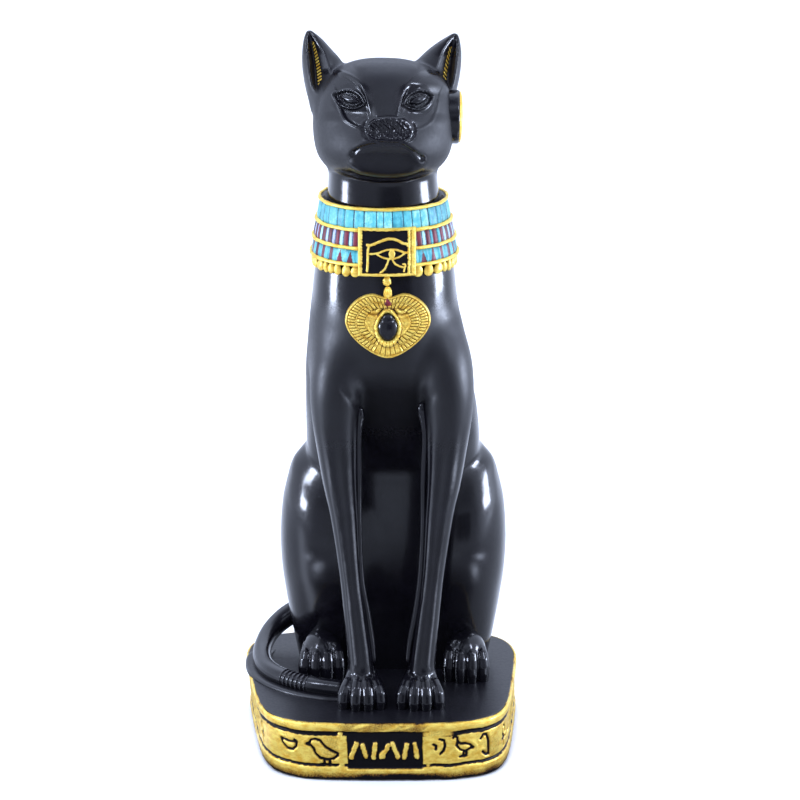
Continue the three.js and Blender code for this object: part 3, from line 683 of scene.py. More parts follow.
def onePaw(paw, side):
    # a forepaw takes in the foot of its leg, which dips under the body's own surface farther up
    def field(x, y, z):
        total = pawField(x, y, z, paw, side)
        if paw is forePaw:
            under = 0.15 * ramp(13, 16, z) - 0.1 * ramp(14, 8, z)
            total = smoothMin(total, forelegField(x, y, z, side) + under, 1.5)
        capped = smoothMax(total, z - pawTop, catBody["cutBlend"])
        return smoothMax(capped, catBody["footing"] - z, catBody["cutBlend"])

    middle = paw["middle"] + side * paw["offset"]
    spans = [(middle - 9.5, middle + 9.5), (paw["toe"] - 2, paw["heel"] + 2.5), (-2, pawTop + 1)]
    return polygonise(field, [stepsOf((*span, catBody["pawStep"])) for span in spans])


paws = joinShells([onePaw(paw, side) for paw in (forePaw, hindPaw) for side in (-1, 1)])
addPiece("paws", paws, lacquer)


tendon = {
    # x, height and radius of the thin ridge down each foreleg's inner edge, from a knob under the
    # chest, for the viewer's left and right leg
    -1: [(-6.6, 101.6, 1.0), (-6.7, 98.8, 1.5), (-7.1, 95, 1.1), (-7.3, 89, 0.95), (-7.2, 76, 0.95),
         (-7.0, 60, 0.9), (-6.3, 43, 0.9), (-4.3, 30, 0.95), (-2.9, 20, 0.95), (-2.2, 13, 0.8)],
    1: [(13.2, 103.2, 1.0), (13.1, 100.6, 1.5), (13.8, 96, 1.05), (14.2, 90, 0.9), (13.7, 76, 0.9),
        (13.6, 60, 0.85), (12.8, 43, 0.9), (11.2, 30, 0.95), (9.4, 20, 0.9), (8.6, 13, 0.8)],
}


def tendonTube(side):
    # round bar whose middle runs on the foreleg's own surface
    x, z, radius = np.array(tendon[side]).T
    centre, front, back, half, _ = rowsAt(catBody["foreleg"], z)
    across = np.clip((x - catBody["forelegMiddle"] - side * centre) / half, -0.93, 0.93)
    y = (front + back) / 2 - (back - front) / 2 * np.sqrt(1 - across ** 2)
    path = smoothLine(np.stack([x, y, z, radius], 1), fewer(200))
    share = np.linspace(-1, 1, len(path))
    size = path[:, 3] * np.sqrt(np.clip(1 - np.abs(share) ** 60, 0.02, 1))
    return tubeRound(path[:, :3], size, [0, 1, 0], 20)


ridges = joinShells([shellOf(tendonTube(side)) for side in (-1, 1)])
addPiece("foreleg_ridges", ridges, lacquer)
print("body done")


# The head, in a frame of its own: x to the viewer's right, -y out of the face, z over the crown

head = {
    "centre": np.array([0.8, -10, 191.9]),
    "yaw": 4, "pitch": 16.5, "roll": 2,
    "side": 22.5, "front": 23, "back": 19.5, "top": 20.1, "bottom": 18.9, "power": 2.45,
    "chinAt": (-24.6, -9.9), "chinSlope": 47,
    # the pad leans back downwards and bends back to its sides
    "nose": {"middle": (0.2, -4.2), "half": 6.9, "height": 3.6, "power": 2.9, "front": -27.3,
             "lean": 0.42, "bow": 0.033},
    # middle, half sizes and blend of the muzzle's two round masses
    "muzzle": [((0, -14.2, -6.8), (14.5, 11.4, 8), 4.5), ((0, -11.6, -11), (15, 13, 8), 4)],
    # half width and front y at the bridge's foot and what they gain over its reach, and its ends
    "bridge": {"foot": -4, "reach": 21, "half": (4.2, 5.3), "front": (-26.6, 12.4), "ends": (-2, 17),
               "blend": 2.2},
    "neckBlend": 1.6, "neckTop": 186, "cutAt": 155,
    "earShift": -0.8,
    # the ear on the viewer's right is wider towards the crown
    "earWider": 2,
    # height, outer x, inner x, front y, back y of one ear
    "ear": [
        [4, 22.4, 9, -6, 11.5], [10, 24.1, 10.4, -6.4, 10.4], [15, 25.1, 11.6, -5.8, 8.8],
        [19.2, 25.5, 13, -4.6, 7], [22.6, 25.5, 16, -3.2, 5], [26, 25, 19.3, -1.8, 3.2],
        [27.8, 24.4, 21.6, -0.8, 1.8], [28.7, 23.8, 22.9, 0, 0.9]],
    "earBlend": 2.2,
    # height, crease x, lateral edge x, medial edge x, depth of the crease
    "earFold": [
        [7, 20.4, 22.6, 17.6, 0], [10, 20.9, 24, 16, 3.6], [14, 21.2, 24.8, 15.8, 5.2],
        [18, 21.6, 25, 17, 5], [22, 22.2, 25, 18.6, 3.8], [25.5, 22.9, 24.8, 20.8, 2],
        [28.2, 23.4, 24.2, 22.8, 0]],
    "step": 0.67, "fine": 0.262,  # of the mesh, away from the face and on it
}


def turnMatrix(yaw, pitch, roll):
    # yaw about z, then pitch about x, which raises the face, then roll about y
    a, b, c = math.radians(yaw), -math.radians(pitch), math.radians(roll)
    aboutZ = np.array([[math.cos(a), -math.sin(a), 0], [math.sin(a), math.cos(a), 0], [0, 0, 1]])
    aboutX = np.array([[1, 0, 0], [0, math.cos(b), -math.sin(b)], [0, math.sin(b), math.cos(b)]])
    aboutY = np.array([[math.cos(c), 0, math.sin(c)], [0, 1, 0], [-math.sin(c), 0, math.cos(c)]])
    return aboutZ @ aboutX @ aboutY


headTurn = turnMatrix(head["yaw"], head["pitch"], head["roll"])


def toHead(x, y, z):
    # from the figure's frame to the head's own: moved by the centre, then turned back
    c = head["centre"]
    dx, dy, dz = x - c[0], y - c[1], z - c[2]
    return [headTurn[0, k] * dx + headTurn[1, k] * dy + headTurn[2, k] * dz for k in range(3)]


def fromHead(points):
    # from the head's own frame to the figure's
    return np.asarray(points) @ headTurn.T + head["centre"]


def earFieldAt(x, y, z, side):
    # ellipse column of the ear with its hollow, a fold whose two walls meet in a crease
    out = side * (x - head["earShift"])
    outer, inner, front, back = rowsAt(head["ear"], z)
    top = head["ear"][-1][0]
    if side > 0:
        inner = inner - head["earWider"] * ramp(5, 15, z) * ramp(top + 1, top - 7, z)
    u = (out - (outer + inner) / 2) / ((outer - inner) / 2)
    v = (y - (front + back) / 2) / ((back - front) / 2)
    away = np.hypot(out - (outer + inner) / 2, y - (front + back) / 2) + 1e-6
    column = away - away / (np.sqrt(u * u + v * v) + 1e-9)
    column = smoothMax(column, z - top, 0.6)
    return smoothMax(column, (earWall(out, z) - y) * 0.75, 0.5)


def earWall(out, z):
    # y of the fold's walls: deepest at the crease, rising straight to both edges
    crease, lateral, medial, depth = rowsAt(head["earFold"], z)
    _, _, front, _ = rowsAt(head["ear"], z)
    toSide = (out - crease) / np.where(out > crease, lateral - crease, medial - crease)
    return front + depth * (1 - 1.15 * toSide) + 0.4 * (1 - toSide)


def nosePad(x, z):
    # how far a place seen from ahead lies outside the nose pad's outline, and its height on the pad
    nose = head["nose"]
    power = nose["power"]
    u, v = (x - nose["middle"][0]) / nose["half"], (z - nose["middle"][1]) / nose["height"]
    return ((np.abs(u) ** power + np.abs(v) ** power) ** (1 / power) - 1) * nose["height"], v


def headField(x, y, z):
    # skull, muzzle, bridge and nose pad in one soft union, in the head's frame
    depth = np.where(y < 0, head["front"], head["back"])
    height = np.where(z < 0, head["bottom"], head["top"])
    power = head["power"] + 0.35 * ramp(-2, -12, z)
    size = (np.abs(x / head["side"]) ** power + np.abs(y / depth) ** power
            + np.abs(z / height) ** power) ** (1 / power) + 1e-9
    away = np.sqrt(x * x + y * y + z * z)
    total = away - away / size
    for centre, halves, blend in head["muzzle"]:
        total = smoothMin(total, ellipsoidField(x, y, z, centre, halves), blend)
    # the chin is a slope from the mouth back to the jaw
    slope = math.radians(head["chinSlope"])
    chin = -math.cos(slope) * (y - head["chinAt"][0]) - math.sin(slope) * (z - head["chinAt"][1])
    total = smoothMax(total, chin, 1.6)
    bridge = head["bridge"]
    t = np.clip((z - bridge["foot"]) / bridge["reach"], 0, 1)
    half = bridge["half"][0] + bridge["half"][1] * t ** 2.2
    front = bridge["front"][0] + bridge["front"][1] * t ** 1.15
    ridge = smoothMax(np.abs(x) - half, front - y, 1.4)
    ends = smoothMax(bridge["ends"][0] - z, z - bridge["ends"][1], 3)
    total = smoothMin(total, smoothMax(smoothMax(ridge, ends, 3), y + 4, 2), bridge["blend"])
    nose = head["nose"]
    front = nose["front"] + nose["lean"] * (-0.6 - z) + nose["bow"] * x * x
    pad = smoothMax(smoothMax(nosePad(x, z)[0], front - y, 0.9), y + 15, 2)
    return smoothMin(total, pad, 0.7)


def withEars(x, y, z):
    # the head joined softly with both ears
    total = headField(x, y, z)
    for side in (-1, 1):
        ear = smoothMax(earFieldAt(x, y, np.maximum(z, 4), side), 3 - z, 2)
        total = smoothMin(total, ear, head["earBlend"])
    return total


face = {
    "eye": {"out": 11.3, "up": 5.7, "half": 5.3, "height": 2.95, "slant": 19, "shift": -1.4},
    # brow line from the ear's root down beside the bridge to the nose, for the right-hand side
    "brow": [(17.8, 15.2), (14.8, 14.9), (11.6, 13.4), (8.5, 10.9), (6.3, 7.4), (5.1, 3.4), (4.4, 0),
             (4.2, -2)],
    "socketDepth": 1.15,
    "crease": [(-16.4, 5.6), (-15.6, 2.6), (-13.6, -0.6), (-10.4, -2.9), (-7.4, -3.9)],
    "mouth": [(-10.7, -11.6), (-9.3, -10.5), (-7, -9.4), (-3.4, -8.8), (0, -8.7), (3.4, -8.8),
              (5.4, -9.4), (8, -11), (10.9, -12.8)],
    "mouthDepth": 0.5,
    "lipStep": 0.35,
    # height of each lid or groove, its place outside the eye's outline and its half width
    "lids": [(0.95, 0, 0.38), (-0.65, -0.64, 0.26), (0.5, -1.04, 0.26), (-0.6, -1.46, 0.26)],
    "eyeball": 1.25,
    # how deep the field above the cheek is sunk on the viewer's right and left
    "cheekDepth": {1: 0.8, -1: 0.2},
}
browLine = smoothLine(face["brow"], 24)
creaseLine = smoothLine(face["crease"], 16)
mouthLine = smoothLine(face["mouth"], 24)


def faceRelief(x, z):
    # how far the face stands out of the smooth head, plus outwards
    eye = face["eye"]
    relief = np.zeros(np.shape(x))
    for side in (-1, 1):
        # socket: a sunk field with a crisp edge along the brow and bridge that fades out at the cheek
        across = side * (x - eye["shift"])
        near, left = lineDistance(across, z, browLine)
        inside = near * left
        eyeX, eyeZ = across - eye["out"], z - eye["up"]
        fade = (1 - ramp(4, 12.5, np.hypot(eyeX * 0.85, eyeZ))) * ramp(-2, 2, z)
        if side > 0:
            fade = fade * (1 - ramp(8, 11.5, z))
        relief -= face["socketDepth"] * ramp(-0.3, 0.7, inside) * fade
        relief += 0.3 * hump(inside + 0.5, 0.7) * fade
        # almond eye: two thin lids with a groove between them round a domed eyeball
        slant = math.radians(eye["slant"])
        u = eyeX * math.cos(slant) + eyeZ * math.sin(slant)
        v = -eyeX * math.sin(slant) + eyeZ * math.cos(slant)
        radius = (eye["half"] ** 2 + eye["height"] ** 2) / (2 * eye["height"])
        lens = np.hypot(u, np.abs(v) + radius - eye["height"]) - radius
        for height, place, width in face["lids"]:
            relief += height * hump(lens - place, width)
        relief += face["eyeball"] * (1 - np.clip((lens + eye["height"]) / 1.65, 0, 1) ** 2)
    # cheek's upper edge: the field above it is sunk, more on the left of the face
    for side, depth in face["cheekDepth"].items():
        near, left = lineDistance(side * (x - head["nose"]["middle"][0]), z, creaseLine)
        above = near * left
        relief -= depth * ramp(-0.25, 0.35, above) * (1 - ramp(1, 8, above))
        relief += 0.6 * depth * hump(above + 0.4, 0.38)
    # grain on the nose pad, with a groove beside and below it
    pad, v = nosePad(x, z)
    onPad = ramp(0.1, -0.3, pad)
    relief -= 0.4 * hump(pad - 0.5, 0.35) * ramp(0.95, 0.2, v)
    relief += onPad * (0.3 - 1.5 * ramp(1, -1, v) + 0.3 * waves(x, 0, z, 1.0, 15))
    # mouth: a groove with deeper corners, and a chin that lies back from the upper lip
    near, left = lineDistance(x, z, mouthLine)
    below = -near * left
    corner = ramp(7, 11, np.abs(x))
    relief -= face["mouthDepth"] * (1 + 1.1 * corner) * hump(near, 0.4 + 0.3 * corner)
    relief -= (face["lipStep"] * ramp(-0.2, 0.7, below) * (1 - ramp(2, 8, below))
               * (1 - ramp(9, 15, np.abs(x))))
    relief += 0.3 * hump(below + 1.1, 0.9) * (1 - ramp(8, 12, np.abs(x)))
    return relief


def neckAndHead(x, y, z):
    # the torso's column as a neck, joined softly with the head in its own frame
    hx, hy, hz = toHead(x, y, z)
    neck = smoothMax(torsoField(x, y, z), z - head["neckTop"], 2)
    return smoothMin(neck, withEars(hx, hy, hz), head["neckBlend"])


def cutHead(x, y, z):
    # neck and head above the cut
    return smoothMax(neckAndHead(x, y, z), head["cutAt"] - z, catBody["cutBlend"])


step, fine = head["step"], head["fine"]
headAxes = [stepsOf((-30, -19, step), (-19, 21, fine), (21, 30, step)),
            stepsOf((-43, -22, step * 0.8), (-22, 16, step)),
            stepsOf((head["cutAt"] - 2, 177, step), (177, 206, fine), (206, 224, step * 0.8))]
points, *faces = polygonise(cutHead, headAxes)
hx, hy, hz = toHead(*points.T)
carved = faceRelief(hx, hz) * ramp(-4, -8, hy)
points = points + slopeOf(neckAndHead, points) * carved[:, None]


def polishOf(x, z):
    # glossy round the eyes, nose and mouth, on the chin, ears and neck, less so on the forehead, and
    # satin on the cheeks
    eye = face["eye"]
    away = np.minimum(*[np.hypot(x - eye["shift"] - side * (eye["out"] - 1.2), (z - eye["up"]) * 1.2)
                        for side in (-1, 1)])
    shine = 1 - ramp(6, 8.5, away)
    for line in (browLine, browLine * [-1, 1]):
        shine = np.maximum(shine, 1 - ramp(0.6, 1.6, lineDistance(x - eye["shift"], z, line)[0]))
    for line in (creaseLine, mouthLine):
        shine = np.maximum(shine, 1 - ramp(0.5, 1.4, lineDistance(x, z, line)[0]))
    shine = np.maximum(shine, 1 - ramp(0.6, 1.6, nosePad(x, z)[0]))
    chin = ramp(-10.5, -12.5, z) * ramp(15, 11, np.abs(x))
    forehead, ears, neck = 0.35 * ramp(4, 10, z), ramp(19, 22, z), ramp(-14.5, -17.5, z)
    return np.maximum.reduce([shine, chin, forehead, ears, neck])


addPiece("head_and_neck", [points, *faces], handled, {"polish": polishOf(hx, hz)})
print("head done")


# The tail, and the ledge that the casting leaves round it

tail = {
    "route": [(-8, 30, 17), (-21, 33.2, 14), (-30.5, 32, 10.8), (-36.9, 26.5, 7), (-39.9, 16.5, 4),
              (-39.3, 6, 2.7), (-36, -3.4, 2.6), (-30.2, -10.8, 2.6), (-22.4, -16.4, 2.6),
              (-11.5, -20.6, 2.6)],
    "radius": 3.1, "rootScale": 1.5, "rootShare": 0.45,
    "rings": (0.755, 0.862), "ringCount": 6, "ringDepth": 0.42,
    "ledgeHeight": 1.15, "ledgeReach": 2.4, "ledgeStart": 3,
}


def tailTube():
    # round bar along the route, thicker at its root, rounded at its tip, with ring grooves near it
    count = fewer(420)
    route = smoothLine(tail["route"], count)
    share = np.linspace(0, 1, count)
    radius = tail["radius"] * (1 + (tail["rootScale"] - 1) * (1 - ramp(0, tail["rootShare"], share)))
    low, high = tail["rings"]
    turns = (share - low) / (high - low) * tail["ringCount"]
    within = (turns > 0) & (turns < tail["ringCount"])
    radius = radius + within * (0.12 - tail["ringDepth"] * hump((turns % 1) - 0.5, 0.2))
    radius = radius * np.sqrt(np.clip(1 - ramp(0.975, 1.0, share) ** 2, 0.0025, 1))
    return tubeRound(route, radius, [0, 0, 1], fewer(40))


def tailLedge():
    # low strip beside the tail with a rounded outer edge, level with the plinth at its start
    route = smoothLine(tail["route"][tail["ledgeStart"]:], fewer(160))
    share = np.linspace(0, 1, len(route))
    height = tail["ledgeHeight"] * ramp(0, 0.12, share)
    right, _ = alongRoute(route, [0, 0, 1])
    wide = tail["ledgeReach"] * ramp(0, 0.15, share) * (1 - 0.4 * ramp(0.9, 1, share))
    reach = tail["radius"] + wide
    # share of the reach and of the height around the strip's cross-section
    out, up = np.array([(-0.4, -0.5), (-0.4, 0.8), (0.55, 1), (0.78, 0.97), (0.9, 0.84), (0.97, 0.6),
                        (1, 0.3), (1.01, -0.5)]).T
    outwards = -right if right[len(right) // 2, 0] > 0 else right
    level = route[:, None, :2] + outwards[:, None, :2] * reach[:, None, None] * out[:, None]
    return np.dstack([level, height[:, None] * up])


addPiece("tail", shellOf(tailTube()), lacquer)
addPiece("tail_ledge", shellOf(tailLedge()), satin)


# The plinth: a gilt frieze round a black core

plinth = {
    "side": 46.2, "end": 45.0, "taper": 1.0, "lean": 0.7, "squareness": 5,
    # height above the ground and how far the face stands out of the plinth's outline
    "profile": [(0, -1.3), (0.4, -0.5), (1, -0.1), (2, 0.1), (3.6, 0.15), (4.5, 0), (4.95, -0.4),
                (5.25, -0.9), (5.6, -0.9), (5.95, -0.5), (15.35, -0.5), (15.7, -0.95), (16.1, -1.2),
                (16.7, -1.15), (17.1, -0.3), (17.6, 0), (18.5, 0.1), (19.2, 0), (19.7, -0.35),
                (19.95, -1)],
    # height above the ground and how much gold the face has there; the gold thins out towards the
    # ground, partly as wear and partly as painted shade, a painted reflection of the shaded floor in
    # front
    "gilt": [(0, 0), (0.6, 0.1), (1.4, 0.5), (2.6, 0.75), (3.2, 1), (4.8, 1), (5.1, 0), (5.75, 0),
             (5.95, 1), (15.35, 1), (15.6, 0), (17, 0), (17.2, 1), (19.6, 1), (19.95, 0.7)],
    # the plate on the front: left, right, low and high edge, then its bars and its strokes
    "platePlace": (-11.4, 13.2, 4.3, 16.3), "plateBars": (-13.3, 15.0),
    "strokeLow": 8.1, "strokeHigh": 12.9, "strokeWidth": 0.78,
    # how far each stroke leans, and its top and its foot fall short
    "strokes": [(0.9, 0, 0.1), (-0.5, 0.5, 0.5), (0.35, 0.1, 0), (1.1, 0.6, 0.3), (-0.8, 0, 0.4),
                (0.5, 0.3, 0), (-0.3, 0.2, 0.3)],
    "signDepth": 0.5, "signWidth": 0.34,
}
# outlines of signs of this figure's own, in mm from their middle; they are cut into the gilt panel
signs = {
    "bowl": [[(-3, 1.6), (-2.4, 0), (-0.6, -1.5), (1.4, -1.6), (2.7, -0.4), (3, 1.3), (2.3, 1.8)],
             [(-2.5, 1.5), (0.4, 1.1), (2.4, 1.1)]],
    "sittingBird": [[(-5.4, 2.4), (-4.2, 2.9), (-3.6, 4), (-2.2, 4.3), (-0.6, 3.9), (0.2, 2.8),
                     (1.2, 1.6), (3.2, 0.4), (5.4, -0.6)],
                    [(-5.4, 2.4), (-3.8, 2.1), (-2.9, 1), (-2.4, -0.7), (-1, -2.1), (1.4, -2.6),
                     (3.6, -2.2), (5.4, -0.7)],
                    [(0.4, -2.6), (0.5, -4.2), (-0.6, -4.4)], [(2.2, -2.5), (2.3, -4.2), (1.2, -4.4)]],
    "curls": [[(-1.8, 0.7), (-0.9, 0.2), (-1, -0.9)],
              [(0.2, 2.4), (1.7, 2), (2, 0.2), (1.4, -1.6), (0.4, -2.6)]],
    "tallBird": [[(-3.4, 3.2), (-2.7, 3.8), (-2.1, 3.1), (-1.9, 1.8), (-2.2, 0.4), (-1.2, -1),
                  (0.6, -1.8), (2.2, -1), (3.6, -0.8), (2.4, 0.3), (0.6, 1), (-0.9, 0.9), (-1.9, 1.8)],
                 [(0.2, -1.8), (0, -3.3), (-1.1, -3.5)], [(1.2, -1.6), (1.1, -3.3), (0.1, -3.5)]],
    "arch": [[(-1.6, 2.4), (-0.6, 3.7), (0.8, 3.5), (1.5, 1.6), (1.7, -3.4)],
             [(1.7, -3.4), (0.4, -3.3), (-0.8, -2.2)]],
    "reeds": [[(-2.4, 3.6), (-2.6, -3.6)], [(-0.6, 3.8), (-0.2, -3.6)],
              [(1.4, 3.5), (2.4, 2.2), (2, -3.6)]],
    "wave": [[(-4, 0.6), (-3, 1.8), (-2, 0.2), (-1, 1.7), (0, 0.2), (1, 1.7), (2, 0.2), (3, 1.7),
              (4, 0.6)],
             [(-4, -2), (4, -2)]],
    "loop": [[(0, -0.4), (-1.5, 1.2), (-1.2, 3), (0, 3.8), (1.2, 3), (1.5, 1.2), (0, -0.4), (0, -3.6)],
             [(-1.9, -0.9), (1.9, -0.9)]],
    "snake": [[(-4, -1.6), (-2.4, -0.4), (-0.8, -1.6), (0.8, -0.4), (2.4, -1.4), (3.2, 0.6), (3, 2.4),
               (4, 3.2)]],
}
# sign, way along the frieze from the front's middle to the viewer's right, height above the ground
signPlaces = [
    ("bowl", -31.2, 11.4), ("sittingBird", -19.4, 9.9), ("curls", 18.6, 11.8),
    ("tallBird", 26.7, 11.4), ("arch", 34.6, 10.7), ("loop", 46.5, 10.6), ("snake", 55, 10.6),
    ("reeds", 64.5, 10.7), ("sittingBird", 75, 10), ("wave", 87, 10.8), ("bowl", 97, 10.6),
    ("tallBird", 107, 10.6), ("reeds", 118, 10.7), ("snake", 128.5, 10.6), ("loop", 138, 10.6),
    ("sittingBird", 148, 10), ("wave", 160, 10.8), ("curls", -160, 11),
    ("tallBird", -150, 10.7), ("bowl", -140, 10.6), ("reeds", -130.5, 10.7),
    ("loop", -121, 10.6), ("sittingBird", -110.5, 10), ("snake", -98.5, 10.6),
    ("wave", -87, 10.8), ("arch", -76.5, 10.7), ("tallBird", -67.5, 10.7),
    ("reeds", -57.5, 10.7), ("loop", -48.5, 10.6),
]


def plinthOutline(height, inset, turns):
    # rounded square, narrower towards its front and a little bowed there, tapering out to the ground
    s, c = np.sin(turns), np.cos(turns)
    below = 1 - height / plinthHeight
    y = bend(s, plinth["squareness"])
    forward = np.clip((0.55 - y) / 1.55, 0, 1)
    x = bend(c, plinth["squareness"]) * (1 - np.where(c < 0, 0.17, 0.12) * forward ** 1.15)
    bow = 0.045 * x * x * ramp(-0.75, -1, y)
    return (x * (plinth["side"] - inset - plinth["taper"] * below) + plinth["lean"] * below,
            (y + bow) * (plinth["end"] - inset))


dense = np.linspace(-np.pi / 2, 1.5 * np.pi, 40001)
denseWay = wayAlong(np.stack(plinthOutline(10, 0, dense), 1))
plinthWay = denseWay[-1]


def frieze():
    # Relief over the way along the outline and the height: mouldings, plate, strokes and cut signs.
    # Returns the band's points and the share of gold on each.
    columns = fewer(940)
    levels = np.concatenate([np.linspace(0, 5.9, fewer(22)), np.linspace(6.1, 15.2, fewer(30)),
                             np.linspace(15.4, 19.95, fewer(20))])
    way = np.linspace(0, plinthWay, columns, endpoint=False)
    turns = np.interp(way, denseWay, dense)
    signed = np.where(way > plinthWay / 2, way - plinthWay, way)
    s, z = signed[None, :], levels[:, None]
    angle = way / plinthWay * 2 * np.pi
    round1, round2 = np.cos(angle)[None, :] * 52, np.sin(angle)[None, :] * 52
    wobble = 0.16 * waves(round1, round2, 0, 14, 3)
    edge = np.array(plinth["profile"])
    relief = np.interp(z + wobble, edge[:, 0], edge[:, 1])
    mask = np.array(plinth["gilt"])
    gilt = np.interp(z + wobble + 0.12 * waves(round1, round2, 0, 3, 4), mask[:, 0], mask[:, 1])
    relief = relief + 0.07 * waves(round1, round2, z, 5, 5)
    worn = waves(round1, round2, z * 0.5, 13, 6)
    # random wear thins the gold; the second term darkens the lowest moulding at the front's middle as
    # painted shade, a painted reflection of the shaded floor before it
    gilt = gilt - 0.2 * ramp(0.15, 1.1, worn) - 0.42 * hump(s - 7, 13) * ramp(3.6, 2.4, z)
    # beside the plate the panel's edge is filled up to the rim
    filled = ramp(12.5, 14, s) * (1 - ramp(21.5, 25, s))
    between = ramp(15.2, 15.5, z) * (1 - ramp(17.2, 17.4, z))
    relief = relief + (-0.35 - relief) * filled * between
    gilt = np.maximum(gilt, 0.85 * filled * between)
    # signs
    near = np.full(relief.shape, 9.0)
    for kind, place, height in signPlaces:
        pick = np.abs(signed - place) < 8
        u, v = s[:, pick] - place, z - height
        for line in signs[kind]:
            near[:, pick] = np.minimum(near[:, pick], lineDistance(u, v, line)[0])
    width = plinth["signWidth"] * (1 + 0.25 * waves(round1, round2, z, 4, 7))
    cut = ramp(width + 0.28, width * 0.6, near)
    relief = relief - plinth["signDepth"] * cut + 0.15 * hump(near - 1.1, 0.5)
    gilt = gilt * (1 - cut)
    # the plate on the front with its strokes, and the bars at its sides
    left, right, low, high = plinth["platePlace"]
    jitter = 0.2 * waves(s, z, 0, 3.2, 8)
    shaken = s + jitter
    inPlate = (ramp(left - 0.2, left + 0.15, shaken) * ramp(right + 0.2, right - 0.15, shaken)
               * ramp(low - 0.2, low + 0.15, z) * ramp(high + 0.2, high - 0.15, z))
    strokes = np.zeros(relief.shape)
    middles = np.linspace(left + 2.2, right - 2.2, len(plinth["strokes"]))
    for n, (lean, top, foot) in enumerate(plinth["strokes"]):
        ends = [(middles[n] - lean, plinth["strokeLow"] + foot),
                (middles[n] + lean, plinth["strokeHigh"] - top)]
        away = lineDistance(s, z, ends)[0]
        size = plinth["strokeWidth"] * (1 + 0.2 * waves(s, z, 0, 1.6, 20 + n))
        strokes = np.maximum(strokes, ramp(size + 0.2, size - 0.15, away))
    relief = relief + inPlate * (-0.95 + 0.85 * strokes - relief)
    gilt = gilt + inPlate * (strokes - gilt)
    for place, size, share in zip(plinth["plateBars"], (0.8, 1.1), (1, 0.6)):
        bar = share * hump(shaken - place, size) * ramp(4.2, 5.4, z) * (1 - ramp(16.6, 17.2, z))
        relief = np.maximum(relief, relief + bar * (0.1 - relief))
        gilt = np.maximum(gilt, 0.95 * ramp(0.25, 0.6, bar))
    overPlate = ramp(left - 4, left, s) * ramp(right + 3, right, s) * ramp(16.5, 17, z)
    gilt = gilt - 0.34 * overPlate * ramp(-0.9, 0.3, waves(s, z * 3, 0, 5, 9))
    points = np.zeros((len(levels) + 1, columns, 3))
    for row, height in enumerate(levels):
        x, y = plinthOutline(height, 0, turns)
        outX, outY = outwardOf(x, y)
        points[row] = np.stack([x + outX * relief[row], y + outY * relief[row],
                                np.full(columns, height - plinthHeight)], 1)
    x, y = plinthOutline(10, 4, turns)
    points[-1] = np.stack([x, y, np.full(columns, -10.0)], 1)
    return points, np.vstack([gilt, np.zeros((1, columns))])


points, gilt = frieze()
addPiece("plinth_frieze", closedBand(points), gilding, {"gilt": gilt.ravel()})


def plinthCore():
    # black middle of the plinth: a slab whose top swells and dips very slightly
    turns = np.interp(np.linspace(0, plinthWay, fewer(480), endpoint=False), denseWay, dense)
    # height above the ground, inset from the outline and share of it
    steps = [(0.3, 3, 0.05), (0.3, 3, 1), (0.3, 1.6, 1), (12, 1.6, 1), (19.6, 1.3, 1), (19.85, 0.8, 1),
             (19.98, 1.05, 1), (20, 1.4, 1), (20, 3, 1)]
    steps += [(plinthHeight, 3, share) for share in (0.93, 0.85, 0.75, 0.6, 0.4, 0.2, 0.05)]
    rings = []
    for height, inset, share in steps:
        x, y = plinthOutline(height, inset, turns)
        x, y = x * share, y * share
        swell = 0.12 * waves(x, y, 0, 26, 12) * (share < 0.99 and height == plinthHeight)
        rings.append(np.stack([x, y, height - plinthHeight + swell], 1))
    return np.stack(rings)


addPiece("plinth_core", shellOf(plinthCore()), satin)
print("plinth done")


# The collar: black wall, painted tile rows, gilt bands and a fringe of beads

collar = {
    # heights of the gilt bands, and how far they and the tiles between them stand off the neck
    "bands": [149.4, 154.6, 160.3, 167.0],
    "tileOffset": [1.8, 2.1, 2.15],
    "bandRadius": 0.58, "bandOffset": [2.1, 2.4, 2.5, 2.45],
    "tileWidths": [(3.2, 4.2), (1.1, 1.9), (2.6, 4.1)],
    "tileEdges": [(0.4, 0.4), (0.4, 0.4), (0.4, 1.75)],  # offsets of the rows' lower and upper ends
    "beadHeight": 4.5, "beadWidths": (2.1, 3.8), "beadGap": 0.5, "beadDepth": 0.8,
    "beadMiddle": 147.3,
    # the wall's cross-section: distance from the neck and height
    "wall": [(-0.8, 148.6), (1.6, 148.9), (1.7, 166.4), (2.3, 166.9), (1.9, 167.0), (1.2, 166.2),
             (0.2, 164.6), (-0.8, 164)],
}
ringReach = 2  # neckRing's outline runs this far outside the torso


def neckRing(z, count):
    # outline round the torso at one height, from the front's middle to the viewer's right first, as
    # points a like way apart with their outward directions, and its length
    middle, front, back, half, power = [float(v) for v in rowsAt(catBody["torso"], z)]
    angle = np.linspace(-np.pi / 2, 1.5 * np.pi, 6001)
    x = middle + (half + ringReach) * bend(np.cos(angle), power)
    y = (front + back) / 2 + ((back - front) / 2 + ringReach) * bend(np.sin(angle), power)
    way = wayAlong(np.stack([x, y], 1))
    even = np.linspace(0, way[-1], count, endpoint=False)
    x, y = np.interp(even, way, x), np.interp(even, way, y)
    return (x, y, *outwardOf(x, y), way[-1])


def neckBand(offsets, heights, count):
    # band round the neck, closed both ways: rows of offsets from the torso and of heights, as
    # numbers or arrays
    points = np.zeros((len(heights), count, 3))
    for row, (offset, height) in enumerate(zip(offsets, heights)):
        x, y, outX, outY, _ = neckRing(float(np.mean(height)), count)
        out = offset - ringReach
        points[row] = np.stack([x + outX * out, y + outY * out, np.zeros(count) + height], 1)
    return closedBand(points)


addPiece("collar_wall", neckBand(*zip(*collar["wall"]), fewer(300)), lacquer)


